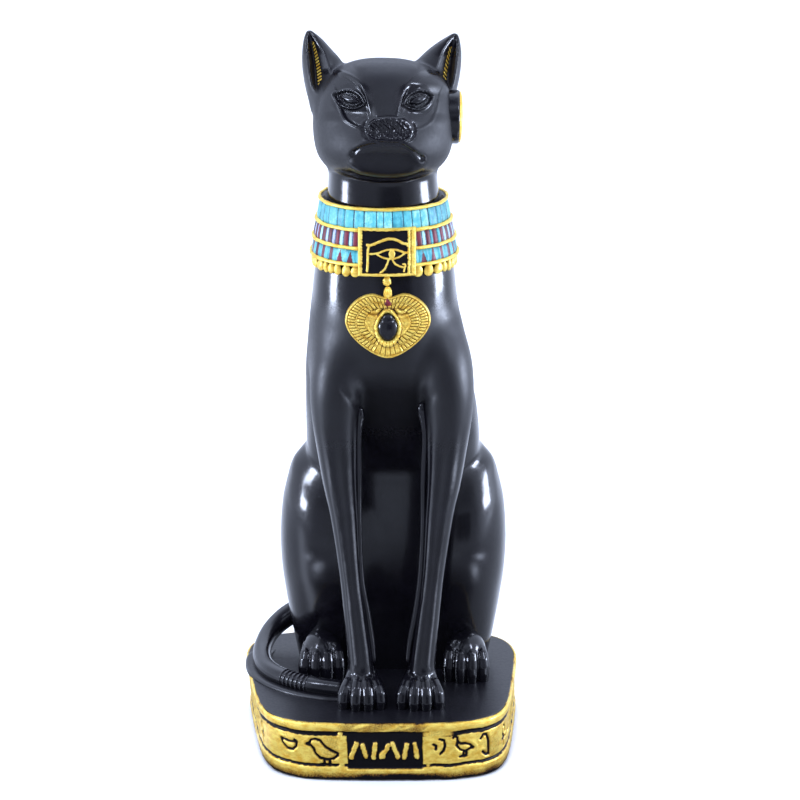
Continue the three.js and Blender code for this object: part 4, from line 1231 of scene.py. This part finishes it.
def tileRow(row, count):
    # one row of cast tiles: rounded fronts with sunk joints; returns its shell and the paint layers
    base, top = collar["bands"][row] + 0.3, collar["bands"][row + 1] - 0.3
    length = neckRing(base + 2, count)[4]
    cuts, odd = [0.0], False
    low, high = collar["tileWidths"][row]
    while cuts[-1] < length - high:
        wide = chance.uniform(1.6, 2.0) if row == 1 and odd else chance.uniform(low, high)
        cuts.append(cuts[-1] + (wide if row != 1 or odd else chance.uniform(1.1, 1.4)))
        odd = not odd
    cuts = np.array(cuts + [length])
    way = np.linspace(0, length, count, endpoint=False)
    tile = np.clip(np.searchsorted(cuts, way, side="right") - 1, 0, len(cuts) - 2)
    joint = np.minimum(way - cuts[tile], cuts[tile + 1] - way)
    tone = chance.uniform(-0.12, 0.16, len(cuts))[tile]
    proud = chance.uniform(-0.1, 0.12, len(cuts))[tile]
    v = np.linspace(0, 1, fewer(18))
    joints = ramp(0.34, 0.08, joint)
    slope = chance.uniform(-0.1, 0.1, len(cuts))[tile]
    face = (collar["tileOffset"][row] + 0.3 * (1 - (2 * v[:, None] - 1) ** 4) - 0.3 * joints
            + proud + slope * np.sin(way * 2)[None, :])
    heights = base + v[:, None] * (top - base) + np.zeros(count)
    under, over = collar["tileEdges"][row]
    offsets = np.vstack([np.full((1, count), under), face, np.full((1, count), over)])
    heights = np.vstack([heights[:1], heights, heights[-1:]])
    layers = {"joint": np.tile(joints, (len(offsets), 1)), "tone": np.tile(tone, (len(offsets), 1)),
              "crimson": np.zeros(offsets.shape), "lilac": np.zeros(offsets.shape)}
    vAll = np.concatenate([[0], v, [1]])[:, None]
    if row == 1:
        layers["crimson"] += (tile % 2 == 1)[None, :] * (1 - 0.4 * (vAll < 0.05))
        pale = chance.uniform(0, 1, len(cuts))[tile] < 0.72
        layers["lilac"] += ((tile % 2 == 0) & pale)[None, :]
    if row == 0:
        # crimson triangles on the turquoise, and plain crimson stripes farther round the sides
        middle = (way % 3.7) - 1.85
        side = ramp(15, 19, np.minimum(way, length - way))
        reach = 1.15 * np.clip(1 - vAll / 0.86, 0, 1) * (1 - side) + 0.7 * side
        layers["crimson"] += ramp(0.14, -0.14, np.abs(middle) - reach)
        layers["joint"] *= 0.4
    return neckBand(offsets, heights, count), layers


shells, layers = zip(*[tileRow(row, fewer(440)) for row in range(3)])
paint = {key: np.concatenate([layer[key].ravel() for layer in layers]) for key in layers[0]}
addPiece("collar_tiles", joinShells(shells), enamel, paint)


plate = {
    "x": 1.9, "low": 146.3, "high": 161.3, "width": 18.5, "proud": 2.95, "depth": 3.4,
    # widths of the frame's left and right bar and of its lower and upper beam
    "bars": (1.4, 2.7), "beams": (1.0, 0.85), "frameRelief": 0.55, "lineRelief": 0.42,
    # lines in mm from the plate's middle with their half widths
    "lines": [
        (0.42, [(-6.3, 2.2), (-4.6, 2.4), (-2.2, 3.5), (0.7, 4.3), (2.9, 3.9), (5.1, 2.8),
                (6.7, 2.4)]),
        (0.36, [(-5.5, 2.2), (-6.0, 0.9), (-6.1, -2.2), (-6.3, -5.9)]),
        (0.32, [(-5.4, -0.5), (-2.9, -0.2), (-0.7, 0.7), (1.5, 1), (3.6, 0.7), (5.1, 0), (6.7, -0.4)]),
        (0.3, [(-3.4, -0.4), (-2.4, -1.0), (-0.7, -1.7), (1.5, -1.9), (3.6, -1.5), (5.1, -0.7),
               (5.9, -0.3)]),
        (0.32, [(0.6, -1.9), (-0.2, -4.1), (-1.0, -5.4), (-2.1, -6.2)]),
        (0.3, [(1.7, -2.2), (2.6, -3.5), (4.3, -4.4), (5.7, -4.6), (5.7, -3.8), (5.1, -3.7)]),
        (0.28, [(5.7, -4.6), (5.4, -5.9)]),
    ],
    "iris": (1.55, -0.45, 1.05, 1.45),  # middle and half sizes
}


def giltBands(count):
    # four round wires of uneven thickness between the tile rows
    shells = []
    for row in range(4):
        angle = circle(12)[:, None]
        x, y = neckRing(collar["bands"][row], count)[:2]
        uneven = waves(x, y, 0, 5, 40 + row)
        radius = collar["bandRadius"] * (1 + 0.13 * uneven + 0.1 * waves(x, y, 0, 1.6, 50 + row))
        height = collar["bands"][row] + 0.1 * waves(x, y, 0, 8, 60 + row)
        behindPlate = ramp(8.9, 8.3, np.abs(x - plate["x"])) * (y < 0) * (row < 3)
        offsets = collar["bandOffset"][row] - 1.5 * behindPlate + radius * np.cos(angle)
        shells.append(neckBand(offsets, height + radius * 0.95 * np.sin(angle), count))
    return joinShells(shells)


addPiece("collar_bands", giltBands(fewer(460)), plainGilding)


def beadFringe():
    # flat drops side by side under the lowest band, narrow above, each from an own seeded width
    count = 4000
    x, y, outX, outY, length = neckRing(collar["beadMiddle"], count)
    shells, at = [], 0.4
    around = circle(fewer(22))
    rise = np.linspace(0.06, np.pi - 0.06, fewer(20))
    while at < length - 2:
        wide = chance.uniform(*collar["beadWidths"])
        place = int((at + wide / 2) / length * count) % count
        if abs(x[place] - plate["x"]) < plate["width"] / 2 - 0.2 and y[place] < 0:
            at += wide
            continue
        out, across = np.array([outX[place], outY[place], 0]), np.array([-outY[place], outX[place], 0])
        high = collar["beadHeight"] * chance.uniform(0.9, 1.06)
        lean = chance.uniform(-0.12, 0.12)
        centre = np.array([x[place], y[place], collar["beadMiddle"]]) - out * 1.15
        t, a = rise[:, None], around[None, :]
        up = -np.cos(t)
        girth = np.sin(t) * (1 - 0.34 * up - 0.1 * up ** 2)
        u = girth * np.cos(a) * wide / 2 + lean * up * 2
        w = girth * np.sin(a) * collar["beadDepth"] + 0.08 * waves(u * 3, up * 3, at, 2.5, 70)
        shells.append(shellOf(centre + across * u[..., None] + out * w[..., None]
                              + np.array([0, 0, 1]) * (up * high / 2 + 0 * a)[..., None]))
        at += wide + collar["beadGap"] * chance.uniform(0.2, 1.6)
    return joinShells(shells)


addPiece("collar_beads", beadFringe(), plainGilding)
print("collar done")


# The breast plate with the painted eye

def chestFront(x, z):
    # y of the torso's front at a place seen from ahead
    middle, front, back, half, power = rowsAt(catBody["torso"], z)
    across = np.clip(np.abs((x - middle) / half), 0, 0.98)
    return (front + back) / 2 - (back - front) / 2 * (1 - across ** power) ** (1 / power)


def breastPlate():
    # height field over the plate: a rough gilt frame round a black field with raised gilt lines
    high = (plate["high"] - plate["low"]) / 2
    u, v = np.meshgrid(np.linspace(-plate["width"] / 2, plate["width"] / 2, fewer(150)),
                       np.linspace(-high, high, fewer(128)))
    rough = waves(u, v, 0, 1.4, 81)
    left, right, under, over = u + plate["width"] / 2, plate["width"] / 2 - u, v + high, high - v
    inner = np.minimum.reduce([
        left - plate["bars"][0] - 0.18 * rough, right - plate["bars"][1] - 0.22 * rough,
        under - plate["beams"][0] - 0.08 * rough, over - plate["beams"][1] - 0.08 * rough])
    framed = ramp(0.16, -0.16, inner)
    height = framed * (plate["frameRelief"] * (0.75 + 0.25 * ramp(0, -0.6, inner)) + 0.09 * rough)
    groove = hump(right - plate["bars"][1] * 0.62, 0.22) * framed * (np.abs(v) < high - 0.8)
    height -= 0.4 * groove
    gilt = framed * (1 - 0.9 * ramp(0.4, 0.8, groove))
    for width, line in plate["lines"]:
        near = lineDistance(u, v, smoothLine(line, 20))[0]
        width = width * (1 + 0.18 * rough)
        mark = ramp(width + 0.13, width - 0.1, near)
        height = np.maximum(height, plate["lineRelief"] * mark)
        gilt = np.maximum(gilt, mark)
    irisX, irisZ, irisHalf, irisHeight = plate["iris"]
    iris = np.hypot((u - irisX) / irisHalf, (v - irisZ) / irisHeight)
    height = np.maximum(height, (plate["lineRelief"] + 0.15) * ramp(1.1, 0.8, iris))
    gilt = np.maximum(gilt, ramp(1.1, 0.9, iris))
    edge = np.minimum.reduce([left, right, under, over])
    height -= 0.5 * (1 - ramp(0, 0.45, edge)) ** 2
    x, z = plate["x"] + u, (plate["low"] + plate["high"]) / 2 + v
    y = chestFront(x, z) - plate["proud"] - height + 0.05 * waves(u, v, 0, 6, 82)
    return np.stack([x, y, z], 2), gilt


points, gilt = breastPlate()
shell = patchOf(points, plate["depth"])
addPiece("breast_plate", shell, gilding, {"gilt": gilt.ravel()})


# The winged pendant with its black stone, hung from two gilt links and a crimson bead

pendant = {
    "x": 2.2, "top": 141.4, "width": 27.4, "height": 20.5, "thickness": 1.25, "sink": 1.5,
    # rows of ribs: inner and outer share of the outline, how many, and phase
    "ribs": [(0.765, 0.93, 60, 0.3), (0.545, 0.715, 42, 0.9)], "ribDepth": 0.75, "ribGap": 0.42,
    "grooves": (0.937, 0.763, 0.717, 0.54),
    "stoneHalf": (3.3, 4.7), "stoneDrop": 0.56, "stoneHeight": 1.9,
    "tailSpread": 25, "tailBars": 5,
    # x, height, half width and half height
    "links": [(1.95, 144.4, 1.35, 1.75), (2.15, 140.7, 1.4, 2.0)], "bead": (2.15, 137.3, 1.45, 1.75),
    "lumpSink": 0.75, "lumpDepth": 1.35,
}


def frontOf(x, z):
    # y of the body's front at places seen from ahead, by halving
    near, far = np.full(x.shape, -46.0), np.full(x.shape, -12.0)
    for _ in range(26):
        middle = (near + far) / 2
        value = bodyField(x.ravel(), middle.ravel(), z.ravel()).reshape(x.shape)
        near, far = np.where(value > 0, middle, near), np.where(value > 0, far, middle)
    return (near + far) / 2


def heartAt(angle, share):
    # the pendant's outline: an oval with a dip above and a blunt point below, narrowing downwards
    s, c = np.sin(angle), np.cos(angle)
    turn = (angle + 2 * np.pi) % (2 * np.pi)
    dip = 0.22 * np.exp(-(turn - np.pi / 2) ** 2 / 0.09)
    point = 0.1 * np.exp(-(turn - 1.5 * np.pi) ** 2 / 0.3)
    wide = 1 - 0.22 * np.maximum(-s, 0) ** 1.5
    high = 1 - dip + point
    return c * wide * pendant["width"] / 2 * share, s * high * pendant["height"] / 2 * share


stoneUp = pendant["height"] * (0.5 - pendant["stoneDrop"])  # the stone's middle above the pendant's


def stoneDistance(u, v):
    # how far a place lies outside the stone's oval, in mm
    wide = pendant["stoneHalf"][0] * (1 - 0.16 * ramp(0, 5, v - stoneUp))
    return (np.hypot(u / wide, (v - stoneUp) / pendant["stoneHalf"][1]) - 1) * 3.6


def pendantRelief():
    # rings of ribs between smooth ridges, a tail of bars below the stone and a curl over each shoulder
    shares = np.concatenate([[1.0, 1.0, 0.995], np.linspace(0.985, 0.05, fewer(76))])
    angle = circle(fewer(520))[None, :]
    share = shares[:, None] + 0 * angle
    u, v = heartAt(angle, share)
    turn = angle + 0 * share
    rough = waves(u, v, 0, 1.3, 91)

    def ribs(count, phase):
        # 1 on the ribs and 0 in the grooves between them, from a sine of the turn
        return ramp(0.0, 0.62, np.abs(np.sin(turn * count / 2 + phase + 0.12 * np.sin(turn * 5))))

    def zone(low, high):
        # 1 between two shares of the outline and 0 outside them
        return ramp(low - 0.012, low + 0.012, share) * (1 - ramp(high - 0.012, high + 0.012, share))

    height = np.full(share.shape, 0.9)
    gilt = np.full(share.shape, 0.86)
    # the rim, and a ridge outside each inner row
    height += 0.45 * zone(0.945, 1.1)
    height += 0.5 * (hump(share - 0.74, 0.016) + hump(share - 0.515, 0.02))
    for low, high, count, phase in pendant["ribs"]:
        part, rib = zone(low, high), ribs(count, phase)
        height += part * (pendant["ribDepth"] * rib - 0.08)
        gilt -= part * pendant["ribGap"] * (1 - rib)
    groove = sum(hump(share - place, 0.01) for place in pendant["grooves"])
    height -= 0.16 * groove
    gilt -= 0.2 * groove
    # curls over the shoulders
    inner = 1 - ramp(0.47, 0.5, share)
    for side in (-1, 1):
        away = np.hypot(u - side * 4.3, v - 5.2)
        curl = ramp(4.2, 3.6, away) * ramp(0.49, 0.44, np.minimum(share, 0.6) * 0.8)
        rings = np.cos(away * 2 * np.pi / 1.7)
        height += 0.3 * curl * rings
        gilt -= 0.22 * curl * ramp(0.3, -0.7, rings)
    height += inner * 0.12 * rough
    # tail of bars below
    swing, wide = np.degrees(turn) - 270, pendant["tailSpread"]
    fan = ramp(wide + 1.5, wide - 1.5, np.abs(swing)) * zone(0.5, 0.93)
    bar = ramp(0.0, 0.5, np.abs(np.sin(np.radians((swing / wide + 1) * 90 * pendant["tailBars"]))))
    height += fan * (1.0 + 0.55 * bar * ramp(0.93, 0.86, share) - height)
    gilt += fan * (0.55 + 0.4 * bar - gilt)
    rim = hump(np.abs(swing) - wide - 1, 1.6) * zone(0.45, 0.95)
    height += 0.35 * rim
    # setting of the stone
    away = stoneDistance(u, v)
    height += 0.55 * hump(away - 0.55, 0.42) - 0.4 * ramp(0.2, -0.4, away)
    gilt += 0.3 * hump(away - 0.55, 0.4) - 0.35 * hump(away - 1.25, 0.25)
    height += 0.05 * rough
    height[0], height[1], height[2] = -pendant["sink"], 0.5, 1.05
    return u, v, height, np.clip(gilt, 0, 1)


u, v, height, gilt = pendantRelief()
pendantMiddle = pendant["top"] - pendant["height"] / 2
pendantBase = frontOf(pendant["x"] + u, pendantMiddle + v)
points = np.stack([pendant["x"] + u, pendantBase - (pendant["thickness"] - 1) * (height > 0) - height,
                   pendantMiddle + v], 2)
addPiece("winged_pendant", shellOf(points), gilding, {"gilt": gilt.ravel()})


def stone():
    # domed oval, slightly waisted where the beetle's head begins
    angle = circle(fewer(72))[None, :]
    share = np.concatenate([[1.02, 1.02], np.sin(np.linspace(np.pi / 2, 0.06, fewer(22)))])[:, None]
    v = np.sin(angle) * pendant["stoneHalf"][1] * share
    u = np.cos(angle) * pendant["stoneHalf"][0] * share * (1 - 0.16 * ramp(0, 5, v))
    height = 0.6 + pendant["stoneHeight"] * np.sqrt(np.clip(1 - share ** 2, 0, 1)) + 0 * angle
    height -= 0.22 * hump(v - 2.3, 0.28) * ramp(1, 0.9, share)
    height[0] = -1
    x, z = pendant["x"] + u, pendantMiddle + stoneUp + v
    return np.stack([x, frontOf(x, z) - height, z], 2)


addPiece("scarab_stone", shellOf(stone()), lacquer)


def nugget(x, z, halfWide, halfHigh, seed, pointed=0.0):
    # lumpy little ball on the chest; pointed narrows its lower end
    around = circle(fewer(40))[None, :]
    rise = np.linspace(0.05, np.pi - 0.05, fewer(30))[:, None]
    up = -np.cos(rise)
    girth = np.sin(rise) * (1 - pointed * ramp(0.4, -1, up))
    lump = 1 + 0.09 * waves(np.cos(around) * girth, np.sin(around) * girth, up, 1.1, seed)
    base = float(frontOf(np.array([x]), np.array([z]))[0])
    return np.stack([x + girth * np.cos(around) * halfWide * lump,
                     base - pendant["lumpSink"] + girth * np.sin(around) * pendant["lumpDepth"] * lump,
                     z + up * halfHigh * lump], 2)


links = [shellOf(nugget(*link, seed)) for seed, link in enumerate(pendant["links"], 95)]
addPiece("pendant_links", joinShells(links), plainGilding)
addPiece("crimson_bead", shellOf(nugget(*pendant["bead"], 99, 0.45)), crimson)
print("pendant done")


# The earring and the gilt ribs inside the ears, in the head's frame

earring = {"centre": (22.9, -3.6, 1.6), "turn": 3, "radius": 8.6,
           # way out along the axis and share of the radius
           "disc": [(-3.2, 0.75), (-3.2, 0.98), (-2.2, 1), (0.3, 1), (0.75, 0.985), (1, 0.95),
                    (1.05, 0.9)],
           "face": [(0.6, 0.9), (0.95, 0.955), (1.25, 0.95), (1.55, 0.9), (1.85, 0.75), (2.05, 0.5),
                    (2.15, 0.25)]}


def earringPart(profile):
    # a profile turned round the earring's axis, which is level and turned a little forwards
    angle = circle(fewer(96))[None, :]
    out, share = [np.array(values)[:, None] for values in zip(*profile)]
    turn = math.radians(earring["turn"])
    ring = share * earring["radius"] * np.cos(angle)
    local = np.stack([out * math.cos(turn) + ring * math.sin(turn),
                      -out * math.sin(turn) + ring * math.cos(turn),
                      share * earring["radius"] * np.sin(angle)], 2)
    return shellOf(fromHead(local + np.array(earring["centre"])))


addPiece("earring_disc", earringPart(earring["disc"]), lacquer)
addPiece("earring_face", earringPart(earring["face"]), plainGilding)

# for each ear the lowest and highest place, the number of bars and their slope
earRibs = {-1: (10.5, 25.2, 15, 0.55), 1: (9, 24.5, 12, 0.7), "across": (0.08, 0.36), "height": 0.5}


def ribPatch(side, low, high, count, slope):
    # diagonal bars up the inner wall of an ear's fold, as a shell and the gold on its points
    z, w = np.meshgrid(np.linspace(low, high, fewer(150)), np.linspace(0, 1, fewer(26)), indexing="ij")
    crease, _, medial, _ = rowsAt(head["earFold"], z)
    first, last = earRibs["across"]
    across = first + (last - first) * w
    out = crease + (medial - crease) * across
    turns = (z - low) / (high - low) * count + slope * (1 - w) * 1.6
    bar = ramp(0.28, 0.75, np.abs(np.sin(np.pi * turns)))
    ends = ramp(0, 0.12, w) * ramp(1, 0.88, w) * ramp(low, low + 0.6, z) * ramp(high, high - 0.6, z)
    y = earWall(out, z) + 0.15 - earRibs["height"] * bar * ends - 0.1 * ends
    points = fromHead(np.stack([side * out + head["earShift"], y, z], 2))
    shell = patchOf(points[:, ::side], 0.8)
    gilt = 0.82 * (bar * ends)[:, ::side].ravel()
    return shell, np.concatenate([gilt, np.zeros(len(shell[0]) - len(gilt))])


shells, gilt = zip(*[ribPatch(side, *earRibs[side]) for side in (-1, 1)])
addPiece("ear_ribs", joinShells(shells), gilding, {"gilt": np.concatenate(gilt)})
print("ornaments done")


# Camera, floor and light

# target and distance in metres, elevation in degrees, the rest in pixels of a picture 800 wide
view = {"target": (0, 0, 0.118), "distance": 1.4, "elevation": 16.5, "focal": 4274.8, "width": 800,
        "aim": (381.0, 394.5)}
camera = bpy.data.cameras.new("camera")
camera.sensor_width = 36
camera.lens = view["focal"] * camera.sensor_width / view["width"]
camera.shift_x = (view["width"] / 2 - view["aim"][0]) / view["width"]
camera.shift_y = (view["aim"][1] - view["width"] / 2) / view["width"]
cameraObject = bpy.data.objects.new("camera", camera)
raised = math.radians(view["elevation"])
cameraObject.location = (view["target"][0], view["target"][1] - view["distance"] * math.cos(raised),
                         view["target"][2] + view["distance"] * math.sin(raised))
cameraObject.rotation_euler = (math.pi / 2 - raised, 0, 0)
bpy.context.scene.collection.objects.link(cameraObject)
bpy.context.scene.camera = cameraObject
bpy.context.scene.view_settings.view_transform = "Standard"


def floorMaterial():
    # matt white card
    look = {"first": "#f3f3f3", "second": "#f8f8f8", "cloudSize": 400, "rough": 0.9}
    m = newMaterial("matt_white_card")
    place = addNode(m, "TexCoord", out="Object")
    cloud = addNode(m, "TexNoise", {"Vector": place, "Scale": 1000 / look["cloudSize"], "Detail": 2,
                                    "Roughness": 0.55})
    colour = addNode(m, "Mix", {0: cloud, 6: look["first"], 7: look["second"]}, 2, data_type="RGBA")
    shader = addNode(m, "BsdfPrincipled", {"Base Color": colour, "Roughness": look["rough"]})
    addNode(m, "OutputMaterial", {"Surface": shader})
    return m


reach = 4.0
floorMesh = bpy.data.meshes.new("floor")
corners = [(x * reach, y * reach, 0) for x, y in ((-1, -1), (1, -1), (1, 1), (-1, 1))]
floorMesh.from_pydata(corners, [], [(0, 1, 2, 3)])
floor = bpy.data.objects.new("floor", floorMesh)
floor.data.materials.append(floorMaterial())
floor.visible_glossy = False
bpy.context.scene.collection.objects.link(floor)


lampColour = "#dbe6ff"
# strength, middle and width of the turn from the front in degrees, and of the distance in metres
floorPools = [
    (0.45, 0, 16, 0.21, 0.05), (6, -50, 10, 0.122, 0.018), (6, 58, 9, 0.122, 0.018),
    (5, -67, 9, 0.188, 0.016), (10, 66, 13, 0.2, 0.016),
]
# strength, middle and width of the turn, and the distances between which the strip comes in
floorStrips = [
    (0.8, -130, 30, 0.3, 0.8), (1.2, 80, 20, 0.3, 0.8), (0.8, 140, 25, 0.3, 0.8),
    (1.5, -80, 9, 0.8, 0.4), (3.5, 93, 12, 0.8, 1.3),
]


def glowOnFloor(x, y):
    # brightness of the floor as the gloss sees it: grey near the plinth, paler farther out and
    # behind, darker far ahead to the right, with pools of light and strips to either side
    away = np.hypot(x, y) + 1e-6
    turn = np.degrees(np.arctan2(x, -y))
    side = np.abs(turn)
    glow = 0.1 + 0.45 * ramp(0.055, 0.13, away) + 0.2 * ramp(0.24, 0.36, away)
    glow += 0.45 * ramp(50, 80, side) + 0.6 * ramp(120, 145, side)
    glow -= 0.4 * ramp(-12, 2, turn) * ramp(38, 28, turn) * ramp(0.7, 2, away)
    for strength, middle, width, distance, deep in floorPools:
        glow += strength * hump(turn - middle, width) * hump(away - distance, deep)
    for strength, middle, width, first, last in floorStrips:
        glow += strength * hump(turn - middle, width) * ramp(first, last, away)
    return glow


def glowAbove(turn, rise):
    # brightness of the room by direction: a dim front with a dark place to its right, pale walls at
    # the sides and behind, a strip of pale ceiling in front and a dim middle overhead
    side = np.abs(turn)
    glow = 0.65 + 0.9 * ramp(45, 68, side) + 1.0 * ramp(120, 150, side) * ramp(15, 50, rise)
    glow -= 0.5 * ramp(-12, 2, turn) * ramp(38, 28, turn) * ramp(22, 15, rise)
    glow += (0.6 * hump(rise - 56, 7) - 0.3 * hump(rise - 34, 10)) * ramp(60, 30, side)
    glow -= 1.0 * ramp(150, 165, side) * hump(rise - 17, 9)
    glow += 2.6 * hump(turn - 98, 22) * hump(rise - 8, 9)
    glow += 1.2 * hump(turn + 86, 13) * hump(rise - 1, 6)
    return glow * (1 - 0.6 * ramp(62, 78, rise))


def glossSheet(name, x, y, z, glow):
    # sheet that only the figure's gloss sees, from grids of places and of its brightness
    mesh = bpy.data.meshes.new(name)
    mesh.from_pydata(np.stack([x, y, z], 2).reshape(-1, 3), [], gridFaces(*x.shape, False))
    layer = mesh.attributes.new("glow", "FLOAT", "POINT")
    layer.data.foreach_set("value", glow.astype(np.float32).ravel())
    m = newMaterial(name)
    strength = addNode(m, "Attribute", out="Fac", attribute_name="glow")
    lamp = addNode(m, "Emission", {"Strength": strength, "Color": lampColour})
    addNode(m, "OutputMaterial", {"Surface": lamp})
    mesh.materials.append(m)
    m.cycles.emission_sampling = "NONE"
    sheet = bpy.data.objects.new(name, mesh)
    for kind in ("camera", "diffuse", "transmission", "volume_scatter", "shadow"):
        setattr(sheet, "visible_" + kind, False)
    bpy.context.scene.collection.objects.link(sheet)


sheets = {"floorReach": 3, "floorHeight": 0.0004, "roomRadius": 2.6}
way = np.linspace(-1, 1, 241)
x, y = np.meshgrid(*[sheets["floorReach"] * way * np.abs(way)] * 2)
glossSheet("lit_floor", x, y, np.full(x.shape, sheets["floorHeight"]), glowOnFloor(x, y))
turn, rise = np.meshgrid(np.linspace(-180, 180, 121), np.linspace(0, 90, 46))
level = sheets["roomRadius"] * np.cos(np.radians(rise))
glossSheet("lit_room", level * np.sin(np.radians(turn)), -level * np.cos(np.radians(turn)),
           sheets["roomRadius"] * np.sin(np.radians(rise)), glowAbove(turn, rise))

lights = [
    # name, place, aim, width, height, watts, seen by matt surfaces, seen in reflections
    ("left_window", (-0.42, -0.1, 0.17), (0, 0, 0.17), 0.11, 0.085, 1.4, False, True),
    ("right_window", (0.45, -0.02, 0.178), (0, 0, 0.178), 0.17, 0.095, 1.9, False, True),
    ("left_box", (-0.61, -0.36, 0.8), (0, 0, 0.12), 0.1, 0.2, 2, True, True),
    ("right_box", (0.61, -0.38, 0.8), (0, 0, 0.12), 0.1, 0.2, 2, True, True),
    ("top_box", (0, 0.75, 1.0), (0, 0, 0.15), 1.1, 0.5, 4, True, False),
    ("front_fill", (-0.2, -1.0, 1.4), (0, 0, 0.1), 1.0, 1.0, 21.5, True, False),
    ("back_fill", (0, 0.9, 1.5), (0, 0.9, 0), 1.2, 1.2, 14, True, False),
]
for name, place, aim, width, height, watts, matt, mirrored in lights:
    lamp = bpy.data.lights.new(name, "AREA")
    lamp.shape = "RECTANGLE"
    lamp.size, lamp.size_y = width, height
    lamp.energy = watts
    lamp.color = linear(lampColour)[:3]
    lampObject = bpy.data.objects.new(name, lamp)
    lampObject.visible_diffuse = matt
    lampObject.visible_glossy = mirrored
    lampObject.location = place
    direction = np.subtract(aim, place)
    away = np.linalg.norm(direction[:2])
    lampObject.rotation_euler = (math.pi / 2 + math.atan2(direction[2], away), 0,
                                 math.atan2(direction[1], direction[0]) - math.pi / 2)
    bpy.context.scene.collection.objects.link(lampObject)

# the room as the camera and matt surfaces see it
world = bpy.data.worlds.new("white_studio")
bpy.context.scene.world = world
world.use_nodes = True
world.node_tree.nodes.clear()
direction = addNode(world, "TexCoord", out="Generated")
way = addNode(world, "SeparateXYZ", [direction]).node.outputs
across = addNode(world, "Math", [way[0]], operation="ABSOLUTE")
behind = addNode(world, "MapRange", (way[1], 0.15, 0.6, 0.5, 1.3))
beside = addNode(world, "MapRange", (across, 0.7, 0.98, 0, 0.6))
ahead = addNode(world, "MapRange", (way[1], 0.05, -0.1))
above = addNode(world, "MapRange", (way[2], 0.8, 0.9, 0, 1.3))
walls = addNode(world, "Math", (behind, beside))
ceiling = addNode(world, "Math", (ahead, above), operation="MULTIPLY")
strength = addNode(world, "Math", (walls, ceiling))
shade = addNode(world, "Background", {"Strength": strength, "Color": "#e6eeff"})
addNode(world, "OutputWorld", {"Surface": shade})
print("camera and light done")
